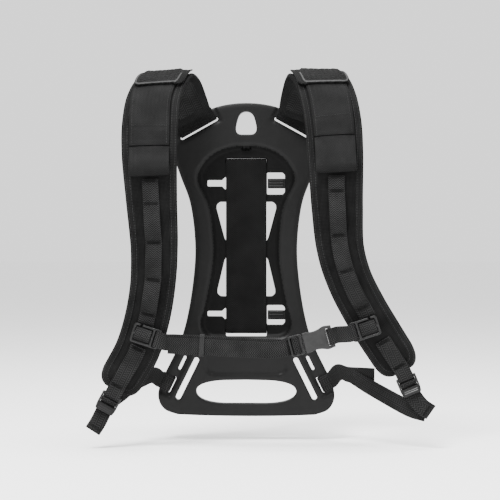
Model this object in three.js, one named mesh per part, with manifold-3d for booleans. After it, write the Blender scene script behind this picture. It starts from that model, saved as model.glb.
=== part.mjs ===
// Air pack harness: a moulded backplate with padded shoulder straps, a chest strap
// with a side-release buckle, and lower adjusting webbings.
// Millimetres. +Z is up, +X to the right seen from the front, -Y towards the wearer.
// The origin is the middle of the plate's rear face, at its waist.
import * as THREE from 'three';
import { mergeVertices } from 'three/addons/utils/BufferGeometryUtils.js';
import Module from 'manifold-3d';

const wasm = await Module();
wasm.setup();

// ---------- driving dimensions ----------
const GAP = 0.3;              // air between touching pieces
const RIM_FRONT = -12;        // front of the plate's rim
const FLOOR_FRONT = -4.5;     // front of the recess floor
const REAR = 0;               // rear of the plate
const SKIN = 3.5;             // wall of the rim shell
const WEB = 20;               // narrow webbing width
const WEB_T = 1.8;            // narrow webbing thickness
const CENTRE_W = 52;          // centre strap and strap anchor width
const CENTRE_T = 2;
const PAD_T = 10;             // shoulder pad thickness
const BAND_W = 49;            // outer band width
const BAND_T = 1.5;
const PATCH_W = 61;           // shoulder patch across the strap
const PATCH_T = 4;
const ANCHOR = { x: 60.3, z: 154.6, angle: -29, length: 55, width: 5.2 };
const FACE_CELL = 14;         // cell size across a band's broad face
const CHEST_TILT = 15;        // the buckle's slope, in degrees

const rad = THREE.MathUtils.degToRad;
const v2 = (x, y) => new THREE.Vector2(x, y);
const v3 = (x, y, z) => new THREE.Vector3(x, y, z);
const range = (from, to, steps) => Array.from({ length: steps + 1 },
  (_, i) => from + ((to - from) * i) / steps);

// ---------- solids ----------
function toSolid(geometry) {
  const plain = geometry.index ? geometry.clone() : geometry;
  plain.deleteAttribute('normal');
  plain.deleteAttribute('uv');
  const merged = mergeVertices(plain, 1e-4);
  return new wasm.Manifold(new wasm.Mesh({
    numProp: 3,
    vertProperties: new Float32Array(merged.attributes.position.array),
    triVerts: new Uint32Array(merged.index.array),
  }));
}

function toGeometry(solid) {
  const mesh = solid.getMesh();
  const geometry = new THREE.BufferGeometry();
  geometry.setAttribute('position', new THREE.BufferAttribute(mesh.vertProperties, 3));
  geometry.setIndex(new THREE.BufferAttribute(mesh.triVerts, 1));
  return geometry;
}

// A flat outline in X and Z, extruded along Y from front to rear.
function prism(points, front, rear) {
  const geometry = new THREE.ExtrudeGeometry(new THREE.Shape(points), {
    depth: rear - front, bevelEnabled: false,
  });
  return toSolid(geometry.rotateX(Math.PI / 2).translate(0, rear, 0));
}

// A closed skin over rings of points, with each end closed by a fan about its middle.
function loft(rings) {
  const count = rings[0].length;
  const positions = rings.flat().flatMap((p) => [p.x, p.y, p.z]);
  const index = [];
  for (let r = 0; r < rings.length - 1; r++) {
    for (let i = 0; i < count; i++) {
      const a = r * count + i;
      const b = r * count + ((i + 1) % count);
      // The far half takes the other diagonal, so that a band's two faces stay parallel.
      if (i < count / 2) index.push(a, b, a + count, b, b + count, a + count);
      else index.push(a, b, b + count, a, b + count, a + count);
    }
  }
  [[0, false], [rings.length - 1, true]].forEach(([r, last]) => {
    const middle = rings[r].reduce((sum, p) => sum.add(p), v3(0, 0, 0)).divideScalar(count);
    const m = positions.length / 3;
    positions.push(middle.x, middle.y, middle.z);
    for (let i = 0; i < count; i++) {
      const a = r * count + i;
      const b = r * count + ((i + 1) % count);
      index.push(...(last ? [m, a, b] : [m, b, a]));
    }
  });
  const geometry = new THREE.BufferGeometry();
  geometry.setAttribute('position', new THREE.Float32BufferAttribute(positions, 3));
  geometry.setIndex(index);
  if (signedVolume(geometry) < 0) geometry.setIndex(index.reverse());
  return geometry;
}

function signedVolume(geometry) {
  const at = (i) => new THREE.Vector3().fromBufferAttribute(geometry.attributes.position, i);
  const index = geometry.index.array;
  let volume = 0;
  for (let i = 0; i < index.length; i += 3) {
    volume += at(index[i]).dot(at(index[i + 1]).cross(at(index[i + 2])));
  }
  return volume;
}

// ---------- outlines in X and Z ----------
// The right half of a symmetric outline, drawn from the top down, and its mirror image.
function symmetric(half) {
  const right = half.getPoints(3);
  const left = right.slice(1, -1).reverse().map((p) => v2(-p.x, p.y));
  return [...right, ...left];
}

// Moves each point of a closed outline outwards by a distance.
function offset(points, distance) {
  const sign = THREE.ShapeUtils.isClockWise(points) ? -1 : 1;
  return points.map((p, i) => {
    const before = points[(i + points.length - 1) % points.length];
    const after = points[(i + 1) % points.length];
    const along = after.clone().sub(before).normalize();
    return p.clone().add(v2(along.y, -along.x).multiplyScalar(sign * distance));
  });
}

function stadium(x, z, length, width, degrees) {
  const points = [];
  const reach = (length - width) / 2;
  for (let i = 0; i < 12; i++) {
    const end = i < 6 ? reach : -reach;
    const turn = -Math.PI / 2 + (Math.PI * (i % 6)) / 5 + (i < 6 ? 0 : Math.PI);
    points.push(v2(end + (Math.cos(turn) * width) / 2, (Math.sin(turn) * width) / 2));
  }
  return points.map((p) => p.rotateAround(v2(0, 0), rad(degrees)).add(v2(x, z)));
}

function rounded(x0, x1, z0, z1, r) {
  const shape = new THREE.Shape();
  shape.absarc(x1 - r, z1 - r, r, 0, Math.PI / 2);
  shape.absarc(x0 + r, z1 - r, r, Math.PI / 2, Math.PI);
  shape.absarc(x0 + r, z0 + r, r, Math.PI, Math.PI * 1.5);
  shape.absarc(x1 - r, z0 + r, r, Math.PI * 1.5, Math.PI * 2);
  return shape.getPoints(r > 3 ? 4 : 2).slice(0, -1);
}

const mirror = (points) => points.map((p) => v2(-p.x, p.y)).reverse();
const corners = (list) => list.map(([x, z]) => v2(x, z));

function plateOutline() {
  const half = new THREE.Path();
  half.moveTo(0, 187);
  half.quadraticCurveTo(24, 187, 44, 180);
  half.lineTo(85, 157);
  half.quadraticCurveTo(101, 147, 94, 122);
  half.splineThru(corners([[84, 93], [72, 60], [66, 18], [66, -22], [73, -75], [84, -117], [104, -159]]));
  half.splineThru(corners([[112, -179], [112, -194], [104, -206], [88, -212]]));
  half.quadraticCurveTo(50, -214, 0, -214);
  return symmetric(half);
}

function recessOutline() {
  const half = new THREE.Path();
  half.moveTo(0, 135);
  half.quadraticCurveTo(44, 134, 61, 104);
  half.quadraticCurveTo(66, 94, 63, 82);
  half.splineThru(corners([[49.5, 52], [44.5, 15], [44.5, -15], [52, -60], [60, -90]]));
  half.quadraticCurveTo(62, -114, 40, -116);
  half.lineTo(0, -117);
  return symmetric(half);
}

function hangHole() {
  const half = new THREE.Path();
  half.moveTo(0, 176);
  half.quadraticCurveTo(8.5, 176, 11, 166);
  half.quadraticCurveTo(13.4, 158, 13.2, 153);
  half.quadraticCurveTo(12.5, 147, 6, 146.6);
  half.lineTo(0, 146.6);
  return symmetric(half);
}

function handleHole() {
  const half = new THREE.Path();
  half.moveTo(0, -167.5);
  half.lineTo(28, -168);
  half.bezierCurveTo(48, -169, 64, -173, 64, -182);
  half.bezierCurveTo(64, -192, 48, -197, 26, -197.5);
  half.lineTo(0, -197.5);
  return symmetric(half);
}

// The long belt slot and the two short webbing slots of the right-hand lower corner.
const LONG_SLOT = { x: 75.5, z: -166, length: 60, width: 6.8, angle: -63.7 };
const SHORT_SLOTS = [
  { x: 82, z: -146, length: 20, width: 3.8, angle: -64 },
  { x: 95.5, z: -174, length: 22.6, width: 3.8, angle: -64 },
];
const slotPoints = (s) => stadium(s.x, s.z, s.length, s.width, s.angle);

const UPPER_WINDOW = corners([[18, 9], [25, 9], [28, 14], [38.2, 52], [38, 57], [34, 60.5], [18, 60.5]]);
const LOWER_WINDOW = corners([
  [18, -60.5], [33, -60.5], [37, -57], [37, -52], [28, -14], [25, -9.5], [18, -9.5],
]);

// Hook slots on the left: a narrow slot that flares towards the middle.
const hookSlot = (z, height) => corners([
  [-50, z - height / 2], [-31, z - height / 2], [-26, z - height / 2 - 5.5],
  [-26, z + height / 2 + 5.5], [-31, z + height / 2], [-50, z + height / 2],
]);
const HOOKS = [{ z: 84.5, height: 8 }, { z: -83, height: 6.6 }];

// Latch openings on the right: a rectangle with cut outer corners, round a spring finger.
const LATCHES = [{ z: 84, height: 28, finger: 12.6 }, { z: -84.5, height: 25, finger: 12 }];
const LATCH_X = { inner: 26.5, outer: 49.5 };
const latchOpening = ({ z, height }) => corners([
  [LATCH_X.inner, z - height / 2], [LATCH_X.outer - 3, z - height / 2],
  [LATCH_X.outer, z - height / 2 + 3], [LATCH_X.outer, z + height / 2 - 3],
  [LATCH_X.outer - 3, z + height / 2], [LATCH_X.inner, z + height / 2],
]);

const STRAP_SLOTS = [rounded(-26.4, 26.4, 110, 116.2, 1.2), rounded(-26.4, 26.4, -112, -102.6, 1.2)];

function backplate() {
  const outline = plateOutline();
  const recess = recessOutline();
  const anchor = stadium(ANCHOR.x, ANCHOR.z, ANCHOR.length, ANCHOR.width, ANCHOR.angle);
  const right = [slotPoints(LONG_SLOT), ...SHORT_SLOTS.map(slotPoints), anchor];
  const rimHoles = [hangHole(), handleHole(), ...right, ...right.map(mirror)];
  const windows = [UPPER_WINDOW, LOWER_WINDOW];
  const floorHoles = [
    ...windows, ...windows.map(mirror), ...STRAP_SLOTS,
    ...HOOKS.map((h) => hookSlot(h.z, h.height)), ...LATCHES.map(latchOpening),
  ];
  const floor = offset(recess, -7).map((p) => v3(p.x, FLOOR_FRONT, p.y));
  const mouth = offset(recess, 0.5).map((p) => v3(p.x, RIM_FRONT - 0.5, p.y));
  let hollow = prism(offset(outline, -4), RIM_FRONT + SKIN, REAR + 1);
  hollow = hollow.subtract(prism(offset(recess, SKIN), RIM_FRONT, REAR + 1));
  hollow = hollow.subtract(prism(rounded(-58, 58, -163, -110, 4), RIM_FRONT, REAR + 1));
  hollow = hollow.subtract(prism(rounded(-115, 115, -215, -186, 2), RIM_FRONT, REAR + 1));
  rimHoles.forEach((hole) => {
    hollow = hollow.subtract(prism(offset(hole, 5), RIM_FRONT, REAR + 1));
  });
  let plate = prism(outline, RIM_FRONT, REAR).subtract(toSolid(loft([mouth, floor])));
  plate = plate.subtract(hollow.decompose().reduce((a, b) => a.add(b)));
  plate = plate.subtract(prism(rounded(-53, 53, -161, -122, 14), RIM_FRONT - 1, RIM_FRONT + 1.5));
  rimHoles.forEach((hole) => {
    plate = plate.subtract(prism(hole, RIM_FRONT - 1, REAR + 1));
  });
  floorHoles.forEach((hole) => {
    plate = plate.subtract(prism(hole, FLOOR_FRONT - 1, REAR + 1));
  });
  return toGeometry(plate);
}

// A spring finger with three ribs along it, hinged at its outer end.
function latchFinger({ z, finger }) {
  const tip = LATCH_X.inner + 3;
  const root = LATCH_X.outer - GAP;
  let solid = prism(rounded(tip, root, z - finger / 2, z + finger / 2, 0.6), -4.2, -1.2);
  [-1, 0, 1].forEach((row) => {
    const rib = prism(rounded(tip + 1.5, root - 2, z + row * 3.6 - 0.7, z + row * 3.6 + 0.7, 0.5), -4.9, -4);
    solid = solid.add(rib);
  });
  return toGeometry(solid);
}

// ---------- webbing and pads ----------
// Frames are {p, side, normal, tangent}. A section's points are [across, outwards].
const ringAt = (f, section) => section.map(([a, b]) => f.p.clone()
  .addScaledVector(f.side, a).addScaledVector(f.normal, b));

// The two broad faces are split across, so that a twisting band keeps its thickness.
function broadFaces(half, t, cells) {
  const across = range(1, -1, cells).map((x) => x * half);
  return [...across.map((a) => [a, t / 2]), ...across.reverse().map((a) => [a, -t / 2])];
}

// A flat band along frames: w across, t thick.
const band = (frames, w, t) => loft(frames.map(
  (f) => ringAt(f, broadFaces(w / 2, t, Math.round(w / FACE_CELL))),
));

// A padded band: the same with its long edges rounded off.
function paddedBand(frames, widths, t) {
  return loft(frames.map((f, i) => {
    const half = widths[i] / 2;
    const faces = broadFaces(half - Math.min(3, half * 0.4), t, 4);
    const middle = faces.length / 2;
    const section = [[half, t * 0.2], ...faces.slice(0, middle), [-half, t * 0.2],
      [-half, -t * 0.2], ...faces.slice(middle), [half, -t * 0.2]];
    return ringAt(f, section);
  }));
}

// Frames along a smooth route of points whose flat side faces across `side`.
function route(points, side, steps, sideEnd = side) {
  const curve = new THREE.CatmullRomCurve3(points, false, 'centripetal');
  return Array.from({ length: steps + 1 }, (_, i) => {
    const u = i / steps;
    const tangent = curve.getTangentAt(u);
    const across = side.clone().lerp(sideEnd, u);
    across.addScaledVector(tangent, -across.dot(tangent)).normalize();
    return { p: curve.getPointAt(u), side: across, normal: tangent.clone().cross(across) };
  });
}

// Centre lines of the two shoulder straps, from the anchor slot over the shoulder, down
// the chest, and on through the ladder lock to the end of the webbing's tail.
const STRAPS = {
  left: {
    points: [[-65, -21, 162], [-75, -32, 182], [-86, -48, 201], [-97, -70, 210], [-106, -93, 203],
      [-112, -110, 181], [-113, -120, 151], [-112.5, -126, 110], [-110, -127, 60], [-107, -123, 0],
      [-109.5, -117, -45], [-117, -112, -86], [-129, -107, -123], [-147, -101, -155],
      [-158, -98, -174], [-167, -97, -190], [-176, -98, -204], [-188, -100, -224]],
    sides: [[0.875, 0.485], [0.95, 0.3], [0.99, 0.14], [1, 0.07], [1, 0.03]],
    bandEnd: 124, loopEnd: 88, tacks: [55, 8.5, -36.5, -79], slider: -104, sliderIn: 1, padEnd: 14, inward: 1,
    narrowing: 8, patchShift: 5, patchSkew: -0.0095,
    tail: [[-178, -101.5, -212], [-185, -102, -223]],
  },
  right: {
    points: [[64, -21, 162], [71, -32, 182], [80, -48, 201], [89, -70, 211], [98, -93, 204],
      [105, -110, 182], [109.5, -120, 151], [112, -126, 110], [114, -127, 50], [118, -123, 0],
      [129, -118, -37], [146, -112, -71], [164, -107, -101], [182, -101, -129],
      [195, -98, -150], [203, -96, -168], [213, -96, -184], [230, -98, -203]],
    sides: [[0.875, -0.485], [0.95, -0.3], [0.99, -0.12], [1, -0.03], [1, -0.01]],
    bandEnd: 136, loopEnd: 92, tacks: [70, 17, -25.5, -70], slider: -95, sliderIn: 9, padEnd: 14, inward: -1,
    narrowing: 4, patchShift: -2.5, patchSkew: 0.0037,
    tail: [[217, -101, -191], [228.5, -101.5, -199]],
  },
};
const PAD_WIDTHS = [48, 56, 64, 69, 70, 70, 69, 67, 62, 57, 55, 55, 55, 54, 50];

function strapAt(strap, station) {
  const last = strap.points.length - 1;
  strap.curve ??= new THREE.CatmullRomCurve3(strap.points.map((p) => v3(...p)));
  const s = THREE.MathUtils.clamp(station, 0, last);
  const tangent = strap.curve.getTangent(s / last);
  const i = Math.floor(s);
  const hint = (n) => {
    const [x, z] = strap.sides[Math.min(n, strap.sides.length - 1)];
    return v3(x, 0, z);
  };
  const side = hint(i).lerp(hint(i + 1), s - i);
  side.addScaledVector(tangent, -side.dot(tangent)).normalize();
  return { p: strap.curve.getPoint(s / last), side, normal: tangent.clone().cross(side), tangent };
}

// The station on the front run at a height.
function stationAt(strap, z) {
  let low = 4;
  let high = strap.points.length - 1;
  for (let i = 0; i < 40; i++) {
    const middle = (low + high) / 2;
    if (strapAt(strap, middle).p.z > z) low = middle;
    else high = middle;
  }
  return low;
}

// Frames along a strap lifted off its centre line: marks are [station, lift, shift].
function lifted(strap, marks) {
  return marks.map(([station, lift, shift = 0]) => {
    const f = strapAt(strap, station);
    f.p.addScaledVector(f.normal, lift).addScaledVector(f.side, shift);
    return f;
  });
}

const ON_PAD = PAD_T / 2 + GAP;
const ROUND_END = 1.2;

// Over the shoulder the pad is cut back along its outer side.
const narrowingAt = (strap, s) => strap.narrowing
  * THREE.MathUtils.smoothstep(s, 0.5, 2.5) * (1 - THREE.MathUtils.smoothstep(s, 3.6, 6.6));

function shoulderPad(strap) {
  const stations = [...range(0.12, strap.padEnd - ROUND_END, 34),
    ...[0.3, 0.55, 0.75, 0.9, 0.98].map((x) => strap.padEnd - ROUND_END * (1 - x))];
  const widths = stations.map((s) => {
    const i = Math.min(Math.floor(s), PAD_WIDTHS.length - 2);
    const plain = THREE.MathUtils.lerp(PAD_WIDTHS[i], PAD_WIDTHS[i + 1], s - i);
    const x = Math.max(0, (s - strap.padEnd + ROUND_END) / ROUND_END);
    return plain * (1 - x ** 3.2) ** (1 / 3.2) - narrowingAt(strap, s);
  });
  const marks = stations.map((s) => [s, 0, (strap.inward * narrowingAt(strap, s)) / 2]);
  return paddedBand(lifted(strap, marks), widths, PAD_T);
}

function outerBand(strap) {
  const stations = range(2.2, stationAt(strap, strap.bandEnd), 18);
  return band(lifted(strap, stations.map((s) => [s, ON_PAD + GAP + BAND_T / 2])), BAND_W, BAND_T);
}

// The patch is sewn on a little askew.
function shoulderPatch(strap) {
  const lift = ON_PAD + BAND_T + 3 * GAP + PATCH_T / 2;
  return loft(range(2.95, 4.4, 8).map((s) => broadFaces(PATCH_W / 2, PATCH_T, 5).map(([a, b]) => {
    const across = a + strap.patchShift;
    const f = strapAt(strap, s + strap.patchSkew * across);
    return f.p.addScaledVector(f.side, across).addScaledVector(f.normal, lift + b);
  })));
}

// The wide hose loop: out from the band's lower edge, round, and back under itself.
function wideLoop(strap) {
  const top = strap.bandEnd;
  const bottom = strap.loopEnd;
  const marks = [[top - 1, 0], [top - 11, 1.8], [bottom + 16, 6], [bottom + 7, 8.6], [bottom + 2, 8.2],
    [bottom, 6], [bottom + 0.8, 2.6], [bottom + 5, 0.7], [bottom + 12, 0]];
  const frames = marks.map(([z, lift]) => {
    const f = strapAt(strap, stationAt(strap, z));
    return f.p.addScaledVector(f.normal, ON_PAD + 0.7 + lift);
  });
  const middle = strapAt(strap, stationAt(strap, (top + bottom) / 2));
  return band(route(frames, middle.side, 22), BAND_W, 1.3);
}

// Daisy-chain webbing: flat at each bar tack and standing off the pad between them.
function daisyWebbing(strap) {
  const tacks = [strap.loopEnd - 4, ...strap.tacks, strap.slider + 13];
  const marks = [];
  for (let i = 0; i < tacks.length - 1; i++) {
    const bulge = i === 0 || i === tacks.length - 2 ? 0.6 : 3.4;
    const steps = i === 0 || i === tacks.length - 2 ? 4 : 8;
    range(0, 1, steps).slice(i === 0 ? 0 : 1).forEach((x) => {
      const z = THREE.MathUtils.lerp(tacks[i], tacks[i + 1], x);
      const rise = bulge * Math.sin(Math.PI * THREE.MathUtils.clamp((x - 0.08) / 0.84, 0, 1)) ** 0.7;
      marks.push([stationAt(strap, z), ON_PAD + WEB_T / 2 + rise]);
    });
  }
  return band(lifted(strap, marks), WEB, WEB_T);
}

// ---------- ladder locks ----------
const LOCK_LIFT = 4;
const LOCK_W = 27;
const BAR_R = 1.3;

// A frame of reference at the lock's hanging bar: u across, v down the strap, w outwards.
function lockFrame(strap) {
  const f = strapAt(strap, strap.padEnd + 0.32);
  f.p.addScaledVector(f.normal, LOCK_LIFT);
  return f;
}

const inFrame = (f) => new THREE.Matrix4().makeBasis(f.side, f.tangent, f.normal).setPosition(f.p);

// A flat outline across (u) and down (v), from w0 to w1 outwards, placed in a frame.
function placed(f, parts) {
  const pieces = parts.map(({ points, w0, w1 }) => {
    const geometry = new THREE.ExtrudeGeometry(new THREE.Shape(points), {
      depth: w1 - w0, bevelEnabled: false,
    });
    return toSolid(geometry.translate(0, 0, w0));
  });
  return pieces;
}

function place(solid, f) {
  const geometry = toGeometry(solid).applyMatrix4(inFrame(f));
  if (signedVolume(geometry) < 0) geometry.setIndex([...geometry.index.array].reverse());
  return geometry;
}

function ladderLock(strap) {
  const half = LOCK_W / 2;
  const inner = WEB / 2 + 0.6;
  const f = lockFrame(strap);
  const [plate, upper, lower, tab] = placed(f, [
    { points: rounded(-half, half, -BAR_R, 16, 2), w0: -BAR_R, w1: BAR_R },
    { points: rounded(-inner, inner, BAR_R, 6, 0.8), w0: -3, w1: 3 },
    { points: rounded(-inner, inner, 9, 13, 0.8), w0: -3, w1: 3 },
    { points: rounded(-half + 1, half - 1, 14, 22, 3), w0: 0.2, w1: 2.4 },
  ]);
  return place(plate.subtract(upper).subtract(lower).add(tab), f);
}

// The sewn strip down the lower pad, looped round the lock's bar.
function lockStrip(strap) {
  const f = lockFrame(strap);
  const start = stationAt(strap, strap.slider - 14);
  const points = lifted(strap, range(start, strap.padEnd - 0.15, 6)
    .map((s) => [s, ON_PAD + WEB_T / 2 + 0.5])).map((mark) => mark.p);
  const wrap = BAR_R * Math.SQRT2 + 0.5 + WEB_T / 2;
  range(70, -90, 5).forEach((degrees) => {
    points.push(f.p.clone().addScaledVector(f.tangent, wrap * Math.cos(rad(degrees)))
      .addScaledVector(f.normal, wrap * Math.sin(rad(degrees))));
  });
  return band(route(points, strapAt(strap, start).side, 36, f.side), WEB, WEB_T);
}

// The tail: over the lock's crossbar, down behind its lift tab and on to its cut end.
function webbingTail(strap) {
  const f = lockFrame(strap);
  const at = (v, w) => f.p.clone().addScaledVector(f.tangent, v).addScaledVector(f.normal, w);
  const ends = strap.tail.map((p) => v3(...p));
  const points = [at(6.2, 2.9), at(8, 3), at(10, 1.9), at(11.2, -0.9), at(13, -3.1), at(17, -3.5),
    at(23, -2.4), ...ends];
  const across = ends[1].clone().sub(ends[0]).cross(v3(0, 1, 0)).normalize();
  if (across.dot(f.side) < 0) across.negate();
  return band(route(points, f.side, 26, across.lerp(f.side, 0.6)), WEB, WEB_T);
}

// ---------- lower webbings ----------
// The strap anchor's loop goes through the slanted slot and over the plate's shoulder.
const ANCHOR_BAR = { from: 2.2, to: 14.9 };
// The lower webbing's loop goes through the lower short slot and round the plate's edge.
const LOWER_BAR = { from: 0.95, to: 15 };

function loopFrame(sign, slot) {
  const along = v3(Math.cos(rad(slot.angle)) * sign, 0, Math.sin(rad(slot.angle)));
  const out = v3(-Math.sin(rad(slot.angle)) * sign, 0, Math.cos(rad(slot.angle)));
  return { p: v3(slot.x * sign, 0, slot.z), along, out };
}

// A closed loop of webbing round a bar of the rim. The bar runs beside a slot, and from
// and to are the distances from the slot's middle to the loop's inner faces.
function barLoop(f, { from, to }, width, t) {
  const inner = rounded(from, to, RIM_FRONT - 0.6, REAR + 0.6, 0.5);
  const outer = rounded(from - t, to + t, RIM_FRONT - 0.6 - t, REAR + 0.6 + t, 2.2);
  const shape = new THREE.Shape(outer);
  shape.holes.push(new THREE.Path(inner));
  const geometry = new THREE.ExtrudeGeometry(shape, { depth: width, bevelEnabled: false });
  geometry.translate(0, 0, -width / 2);
  geometry.applyMatrix4(new THREE.Matrix4().makeBasis(f.out, v3(0, 1, 0), f.along).setPosition(f.p));
  const solid = mergeVertices(geometry.deleteAttribute('normal').deleteAttribute('uv'), 1e-4);
  if (signedVolume(solid) < 0) solid.setIndex([...solid.index.array].reverse());
  return solid;
}

const LOWER_ROUTES = {
  left: [[-117, -28, -161], [-129, -44, -164], [-141, -64, -169.5], [-151, -80, -177.5], [-160, -91, -184]],
  right: [[118, -29, -156.5], [129, -42, -157.5], [150, -60, -168.5], [176, -78, -182],
    [191.5, -86, -190], [207, -92, -197], [223, -95.5, -201]],
};

function lowerWebbing(name, sign) {
  const f = loopFrame(sign, SHORT_SLOTS[1]);
  const start = f.p.clone().addScaledVector(f.out, 14.5).add(v3(0, RIM_FRONT - 5, 0));
  const points = [start, ...LOWER_ROUTES[name].map((p) => v3(...p))];
  const along = points.at(-1).clone().sub(points.at(-2)).normalize();
  const across = along.cross(v3(0, 1, 0)).normalize();
  if (across.dot(f.along) < 0) across.negate();
  return band(route(points, f.along, 18, across), WEB, WEB_T);
}

// ---------- chest strap ----------
// Frames in the chest plane: u along the strap to the right, v up, w towards the front.
function chestFrame(x, y, z, degrees) {
  const side = v3(Math.cos(rad(degrees)), 0, Math.sin(rad(degrees)));
  const tangent = v3(-Math.sin(rad(degrees)), 0, Math.cos(rad(degrees)));
  return { p: v3(x, y, z), side, tangent, normal: v3(0, -1, 0) };
}

const CHEST_Y = -124.5;
const BUCKLE = chestFrame(83, CHEST_Y, -111.5, CHEST_TILT);
const SLIDER_TILT = 18;

function sliderFrame(strap) {
  const f = strapAt(strap, stationAt(strap, strap.slider));
  const x = f.p.x + strap.inward * strap.sliderIn;
  return chestFrame(x, CHEST_Y + 1.5, strap.slider, -SLIDER_TILT * strap.inward);
}

// The sternum slider: two windows for the strap, a split rail, and a side bar.
function slider(strap) {
  const f = sliderFrame(strap);
  const flip = (points) => (strap.inward < 0 ? mirror(points) : points);
  const parts = [
    { points: flip(rounded(-13.5, 21.5, -12, 12, 3.5)), w0: -1.5, w1: 1.5 },
    { points: flip(rounded(-10.8, 10.8, 1.6, 9.4, 1)), w0: -3, w1: 3 },
    { points: flip(rounded(-10.8, 10.8, -9.4, -1.6, 1)), w0: -3, w1: 3 },
    { points: flip(rounded(13.6, 18, -10.4, 10.4, 1)), w0: -3, w1: 3 },
    { points: flip(corners([[-7, 8], [-4, 8], [-2, 14], [-5, 14]])), w0: -3, w1: 3 },
  ];
  const [body, ...cuts] = placed(f, parts);
  return place(cuts.reduce((a, b) => a.subtract(b), body), f);
}

// Strap webbing rolled over the slider's middle bar.
function sliderWrap(strap) {
  const f = sliderFrame(strap);
  const at = (v, w) => f.p.clone().addScaledVector(f.tangent, v).addScaledVector(f.normal, w);
  const points = [at(7.6, -1.2), at(5.6, 1.4), at(2.6, 3.2), at(0, 3.6), at(-2.6, 3.2), at(-5.6, 1.4),
    at(-7.6, -1.2)];
  return band(route(points, f.side, 14), WEB, WEB_T);
}

const CHEST_LEFT = [v3(-82, CHEST_Y, -113), v3(46, CHEST_Y, -119)];
const chestAlong = CHEST_LEFT[1].clone().sub(CHEST_LEFT[0]).normalize();
const chestAcross = v3(-chestAlong.z, 0, chestAlong.x);

// The left chest webbing: round the slider's side bar and straight to the buckle.
function chestWebbingLeft() {
  const f = sliderFrame(STRAPS.left);
  const at = (u, w) => f.p.clone().addScaledVector(f.side, u).addScaledVector(f.normal, w);
  const straight = [0, 0.02, 0.5, 0.98, 1].map((x) => CHEST_LEFT[0].clone().lerp(CHEST_LEFT[1], x));
  const points = [at(15.8, -1.5), at(16.2, 2), at(18.4, 3.1), at(23, 2.4), at(28, 1.4), ...straight];
  return band(route(points, f.tangent, 36, chestAcross), WEB, WEB_T);
}

// Its free end, folded back over the front and lying a little lower.
function chestTail() {
  const shift = chestAcross.clone().multiplyScalar(-4).add(v3(0, -WEB_T - GAP, 0));
  const points = CHEST_LEFT.map((p) => p.clone().add(shift));
  points[0].addScaledVector(chestAlong, -8);
  points[1].addScaledVector(chestAlong, -1);
  return band(route(points, chestAcross, 1), WEB, WEB_T);
}

function elasticKeeper() {
  const centre = CHEST_LEFT[0].clone().addScaledVector(chestAlong, 33);
  centre.addScaledVector(chestAcross, -2).add(v3(0, -1.05, 0));
  const f = { p: centre, side: v3(0, -1, 0), tangent: chestAcross, normal: chestAlong };
  const inner = rounded(-2.5, 2.5, -12.5, 12.5, 0.8);
  const outer = rounded(-3.7, 3.7, -13.7, 13.7, 1.6);
  const [body, hole] = placed(f, [{ points: outer, w0: -3, w1: 3 }, { points: inner, w0: -4, w1: 4 }]);
  return place(body.subtract(hole), f);
}

// The right chest webbing: from the buckle's rear bar to the right slider's side bar.
function chestWebbingRight() {
  const f = sliderFrame(STRAPS.right);
  const from = (u, w) => BUCKLE.p.clone().addScaledVector(BUCKLE.side, u).addScaledVector(BUCKLE.normal, w);
  const to = (u, w) => f.p.clone().addScaledVector(f.side, -u).addScaledVector(f.normal, w);
  const points = [from(21, -1), from(21, 3), from(22.4, 5.4), from(25, 6), from(28.4, 4.8), from(32, 2.2),
    to(23, 2.4), to(18.4, 3.1), to(16.2, 2), to(15.8, -1.5)];
  return band(route(points, BUCKLE.tangent, 24, f.tangent), WEB, WEB_T);
}

// The buckle's male half: an adjuster frame with two webbing slots and a guide rail.
function buckleMale() {
  const [frame, rail, ...slots] = placed(BUCKLE, [
    { points: rounded(-27, -11, -12.5, 12.5, 2), w0: -2.4, w1: 2.4 },
    { points: rounded(-12, 8, -1.8, 1.8, 0.8), w0: -1, w1: 1 },
    { points: rounded(-24.6, -21, -10.4, 10.4, 0.8), w0: -4, w1: 4 },
    { points: rounded(-17.4, -13.8, -10.4, 10.4, 0.8), w0: -4, w1: 4 },
  ]);
  return place(slots.reduce((a, b) => a.subtract(b), frame.add(rail)), BUCKLE);
}

const PRONG = { root: -10.6, v: 7.6, head: 8 };

function buckleProng(sign) {
  const outline = corners([[PRONG.root, 6], [0, 6.4], [PRONG.head, 7.4], [PRONG.head, 9], [5, 10.6],
    [-1, 10.6], [-2, 9], [PRONG.root, 9]]).map((p) => v2(p.x, p.y * sign));
  const [arm] = placed(BUCKLE, [{ points: outline, w0: -1.4, w1: 1.4 }]);
  return place(arm, BUCKLE);
}

// The female half: a hollow socket with waisted sides, open windows for the prongs,
// and a webbing bar at its rear end.
function buckleFemale() {
  const half = new THREE.Path();
  half.moveTo(-9, 0);
  half.lineTo(-9, 12.4);
  half.lineTo(-4, 12.6);
  half.quadraticCurveTo(4, 9.6, 13, 12.8);
  half.quadraticCurveTo(17, 14.6, 20, 14.2);
  half.lineTo(27, 13.2);
  half.lineTo(27, 0);
  const upper = half.getPoints(6);
  const outline = [...upper, ...upper.slice(1, -1).reverse().map((p) => v2(p.x, -p.y))];
  const [body, cavity, window1, window2, slot] = placed(BUCKLE, [
    { points: outline, w0: -3.7, w1: 3.7 },
    { points: corners([[-10, -11], [13, -11], [13, 11], [-10, 11]]), w0: -2.2, w1: 2.2 },
    { points: corners([[-3, 9.5], [9, 9.5], [9, 16], [-3, 16]]), w0: -2.2, w1: 2.2 },
    { points: corners([[-3, -16], [9, -16], [9, -9.5], [-3, -9.5]]), w0: -2.2, w1: 2.2 },
    { points: rounded(19, 23, -10.6, 10.6, 0.8), w0: -5, w1: 5 },
  ]);
  return place(body.subtract(cavity).subtract(window1).subtract(window2).subtract(slot), BUCKLE);
}

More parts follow.
